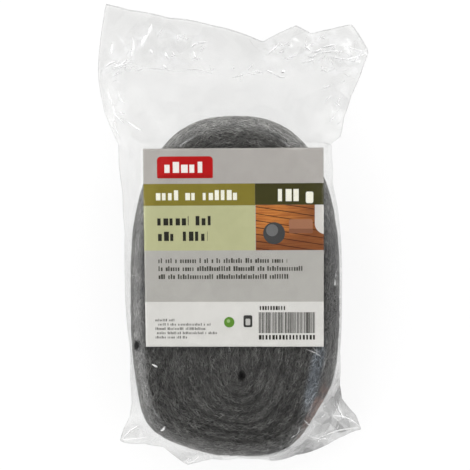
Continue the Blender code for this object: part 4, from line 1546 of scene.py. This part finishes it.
def fold_paths(lines):
    """Paths of the fold lines on the film's upper layer, given as start, end and half width."""
    chance = np.random.RandomState(61)
    paths = []
    share = np.linspace(0.0, 1.0, CREASE_POINTS)
    for x0, y0, x1, y1, _ in lines:
        bend = chance.uniform(-CREASE_BEND, CREASE_BEND)
        plan = np.outer(1.0 - share, (x0, y0)) + np.outer(share, (x1, y1))
        plan += np.outer(bend * np.sin(math.pi * share), (y0 - y1, x1 - x0))
        paths.append(plan * MM)
    return np.array(paths)


def chance_folds(count):
    """Short extra folds where the film is crumpled."""
    chance = np.random.RandomState(62)
    lines = []
    while len(lines) < count:
        row = CRUMPLED[chance.randint(len(CRUMPLED))]
        x = row[0] + row[2] * chance.normal(0.0, CREASE_SCATTER)
        y = row[1] + row[3] * chance.normal(0.0, CREASE_SCATTER)
        strength = float(crumpled(np.array(x * MM), np.array(y * MM), STRENGTH))
        turn = chance.normal(*CREASE_HEADING)
        length = chance.uniform(*CREASE_LENGTHS)
        if chance.uniform() < strength:
            dx, dy = 0.5 * length * math.cos(turn), 0.5 * length * math.sin(turn)
            lines.append((x - dx, y - dy, x + dx, y + dy, chance.uniform(*CREASE_HALF_WIDTHS)))
    return lines


def build_folds(values, film_tree):
    """Lays thin raised folds on the film, following its surface; their whitish colour is partly painted
    glint.
    """
    lines = FOLD_LINES + tuple(chance_folds(values.folds))
    plans = fold_paths(lines)
    half = np.array([line[4] for line in lines]) * CREASE_WIDTH
    kept, paths = [], []
    for k, plan in enumerate(plans):
        path = []
        for x, y in plan:
            hit = film_tree.ray_cast(Vector((x, y, 0.2)), Vector((0.0, 0.0, -1.0)))[0]
            if hit is None:
                break
            path.append((x, y, hit.z + CREASE_LIFT))
        if len(path) == len(plan):
            kept.append(k)
            paths.append(path)
    listed = np.where(np.array(kept) < len(FOLD_LINES), 1.0, CHANCE_CREASE_TONE)
    tones = np.random.RandomState(63).uniform(*CREASE_TONES, len(kept)) * listed
    tones *= np.clip(CREASE_TONE_BASE + CREASE_TONE_GROWTH * half[kept], 0.0, CREASE_TONE_LIMIT)
    width = half[kept] * 2.0
    thin_strands("film_folds", np.array(paths), width, tones, fold_glint_material(), pointed=True)


def build_film(values):
    angle, edge = edge_columns(values.columns)
    layers = []
    for side, bend_rings, free_rings in FILM_LAYERS:
        points, crumple, painted_facet_shade = film_layer(angle, edge, side, bend_rings, free_rings, values.crumple)
        layers.append(warped_grid("film_layer", points, None, {"crumple": crumple, "painted_facet_shade": painted_facet_shade}))
    bm = bmesh.new()
    for layer in layers:
        bm.from_mesh(layer)
        bpy.data.meshes.remove(layer)
    bmesh.ops.remove_doubles(bm, verts=bm.verts, dist=2e-6)
    bmesh.ops.holes_fill(bm, edges=[edge for edge in bm.edges if edge.is_boundary], sides=0)
    bmesh.ops.recalc_face_normals(bm, faces=bm.faces)
    film_tree = BVHTree.FromBMesh(bm)
    open_vent(bm, values.vent)
    piece = new_piece("film_bag", finished_mesh("film_bag", bm), film_material(values))
    add_thickness(piece, values.thickness)
    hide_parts("bag")
    build_folds(values, film_tree)


# Stage

# Share of its own white that the floor shows to the camera.
FLOOR_GLOW = 0.80

# Studio light: where it changes from overhead to the horizon, its strength overhead and what it gains
# towards the horizon. The gloss sees a dimmer one.
STUDIO_FADE = (0.97, 0.30)
STUDIO_LIGHT = (0.155, 2.20)
GLOSS_LIGHT = (0.05, 0.50)

# More light for the gloss, from the left and from the top: axis, where it starts and is full, strength.
GLOSS_SIDES = ((0, -0.30, -0.95, 0.8), (1, 0.25, 0.80, 0.85))

# Lamps: name, place, width, power, height where it isn't the width.
LAMPS = (
    ("left", (-1.25, -0.05, 0.75), 0.9, 5.0, 2.0), ("right", (1.2, 0.2, 0.8), 0.9, 1.6, 1.6),
    ("small_0", (-0.5, 0.75, 1.2), 0.10, 0.9, None), ("small_1", (0.55, 0.6, 1.2), 0.10, 0.9, None),
    ("small_2", (0.8, -0.3, 1.2), 0.10, 0.25, None), ("small_3", (-0.6, -0.55, 1.2), 0.10, 0.6, None),
)
LAMP_TARGET_HEIGHT = 0.04

# The camera: its sensor in mm, and how far the picture's middle lies above the roll's centre.
SENSOR = 36.0
PICTURE_SHIFT_Y = 0.02846


def floor_material():
    """White paper: it shows white to the camera and keeps a soft shadow."""
    material, tree, surface = new_material("white_floor")
    surface.inputs["Base Color"].default_value = (0.98, 0.98, 0.98, 1.0)
    surface.inputs["Roughness"].default_value = 1.0
    surface.inputs["Specular IOR Level"].default_value = 0.0
    path = node(tree, "ShaderNodeLightPath")
    seen = calc(tree, "MAXIMUM", path.outputs["Is Camera Ray"], path.outputs["Is Glossy Ray"])
    seen = calc(tree, "MAXIMUM", seen, path.outputs["Is Transmission Ray"])
    glow = node(tree, "ShaderNodeEmission", {"Color": (1.0, 1.0, 1.0, 1.0), "Strength": 1.0})
    share = calc(tree, "MULTIPLY", seen, FLOOR_GLOW)
    mix_surface(material, share, surface, glow)
    return material


def set_world():
    """White where the camera looks past the object, a soft grey studio for its light."""
    world = bpy.data.worlds.new("studio")
    bpy.context.scene.world = world
    world.use_nodes = True
    tree = world.node_tree
    back = tree.nodes["Background"]
    path = node(tree, "ShaderNodeLightPath")
    coords = node(tree, "ShaderNodeTexCoord")
    heading = node(tree, "ShaderNodeSeparateXYZ", {"Vector": coords.outputs["Generated"]})
    shade = ramp(tree, heading.outputs[2], *STUDIO_FADE)
    studio = calc(tree, "MULTIPLY_ADD", shade, STUDIO_LIGHT[1], STUDIO_LIGHT[0])
    gloss = calc(tree, "MULTIPLY_ADD", shade, GLOSS_LIGHT[1], GLOSS_LIGHT[0])
    for axis, starts, full, power in GLOSS_SIDES:
        gloss = calc(tree, "MULTIPLY_ADD", ramp(tree, heading.outputs[axis], starts, full), power, gloss)
    studio = node(
        tree, "ShaderNodeMix", {0: path.outputs["Is Glossy Ray"], 2: studio, 3: gloss}, data_type="FLOAT"
    ).outputs[0]
    seen = calc(tree, "MAXIMUM", path.outputs["Is Camera Ray"], path.outputs["Is Transmission Ray"])
    strength = calc(tree, "MAXIMUM", seen, studio)
    back.inputs["Color"].default_value = (1.0, 1.0, 1.0, 1.0)
    tree.links.new(strength, back.inputs["Strength"])


def add_lamp(name, place, target, size, power, tall):
    light = bpy.data.lights.new(name, "AREA")
    light.energy = power
    light.size = size
    if tall:
        light.shape = "RECTANGLE"
        light.size_y = tall
    lamp = new_object(name, light)
    lamp.location = place
    lamp.rotation_euler = (Vector(target) - Vector(place)).to_track_quat("-Z", "Y").to_euler()


def build_stage(values):
    bm = bmesh.new()
    bmesh.ops.create_grid(bm, x_segments=1, y_segments=1, size=values.floor / 2)
    mesh = finished_mesh("floor", bm)
    floor = new_object("floor", mesh)
    floor.location.z = -0.0001
    mesh.materials.append(floor_material())
    set_world()
    for name, place, size, power, tall in LAMPS:
        add_lamp(name, place, (CENTRE_X, CENTRE_Y, LAMP_TARGET_HEIGHT), size, power, tall)
    camera = bpy.data.cameras.new("camera")
    camera.sensor_width = SENSOR
    camera.lens = SENSOR * values.distance / values.picture
    camera.clip_start = 0.01
    camera.clip_end = 20.0
    eye = new_object("camera", camera)
    eye.location = (CENTRE_X, CENTRE_Y + PICTURE_SHIFT_Y, FILM_TOP + values.distance)
    bpy.context.scene.camera = eye
    bpy.context.scene.view_settings.view_transform = "Standard"


class STEELWOOL_OT_roll(bpy.types.Operator):
    """Winds the ribbon of steel wool and lays its loose fibres"""

    bl_idname = "steel_wool.roll"
    bl_label = "Wool roll"

    def execute(self, context):
        values = settings("steel_wool_roll")
        tinge = rust_and_painted_light_group(values)
        build_turns(values, steel_material(values, tinge))
        build_strands(values, strand_material(values, tinge))
        return {"FINISHED"}


class STEELWOOL_OT_label(bpy.types.Operator):
    """Lays the printed paper label on the roll"""

    bl_idname = "steel_wool.label"
    bl_label = "Label"

    def execute(self, context):
        build_label(settings("steel_wool_label"))
        return {"FINISHED"}


class STEELWOOL_OT_film(bpy.types.Operator):
    """Drapes the clear film bag over the roll and the label"""

    bl_idname = "steel_wool.film"
    bl_label = "Film bag"

    def execute(self, context):
        build_film(settings("steel_wool_film"))
        return {"FINISHED"}


class STEELWOOL_OT_stage(bpy.types.Operator):
    """Sets the floor, the lamps and the camera"""

    bl_idname = "steel_wool.stage"
    bl_label = "Stage"

    def execute(self, context):
        build_stage(settings("steel_wool_stage"))
        return {"FINISHED"}


class STEELWOOL_PT_panel(bpy.types.Panel):
    """The bundle's pieces and their settings"""

    bl_idname = "STEELWOOL_PT_panel"
    bl_label = "Steel wool bundle"
    bl_space_type = "VIEW_3D"
    bl_region_type = "UI"
    bl_category = "Steel wool"

    def draw(self, context):
        for name, operator in GROUPS:
            box = self.layout.box()
            box.operator(operator.bl_idname)
            values = settings(name)
            for key in values.bl_rna.properties.keys():
                if key not in {"rna_type", "name"}:
                    box.prop(values, key)


GROUPS = (
    ("steel_wool_roll", STEELWOOL_OT_roll),
    ("steel_wool_label", STEELWOOL_OT_label),
    ("steel_wool_film", STEELWOOL_OT_film),
    ("steel_wool_stage", STEELWOOL_OT_stage),
)
CLASSES = (
    WoolSettings, LabelSettings, FilmSettings, StageSettings,
    STEELWOOL_OT_roll, STEELWOOL_OT_label, STEELWOOL_OT_film, STEELWOOL_OT_stage, STEELWOOL_PT_panel,
)


def register():
    for item in CLASSES:
        bpy.utils.register_class(item)
    for (name, _), kind in zip(GROUPS, CLASSES[:4]):
        setattr(bpy.types.Scene, name, bpy.props.PointerProperty(type=kind))


def unregister():
    for name, _ in GROUPS:
        delattr(bpy.types.Scene, name)
    for item in reversed(CLASSES):
        bpy.utils.unregister_class(item)


def plain(box):
    return [[float(value) for value in corner] for corner in box]


def main():
    register()
    bpy.ops.steel_wool.roll()
    bpy.ops.steel_wool.label()
    bpy.ops.steel_wool.film()
    bpy.ops.steel_wool.stage()


if __name__ == "__main__":
    main()
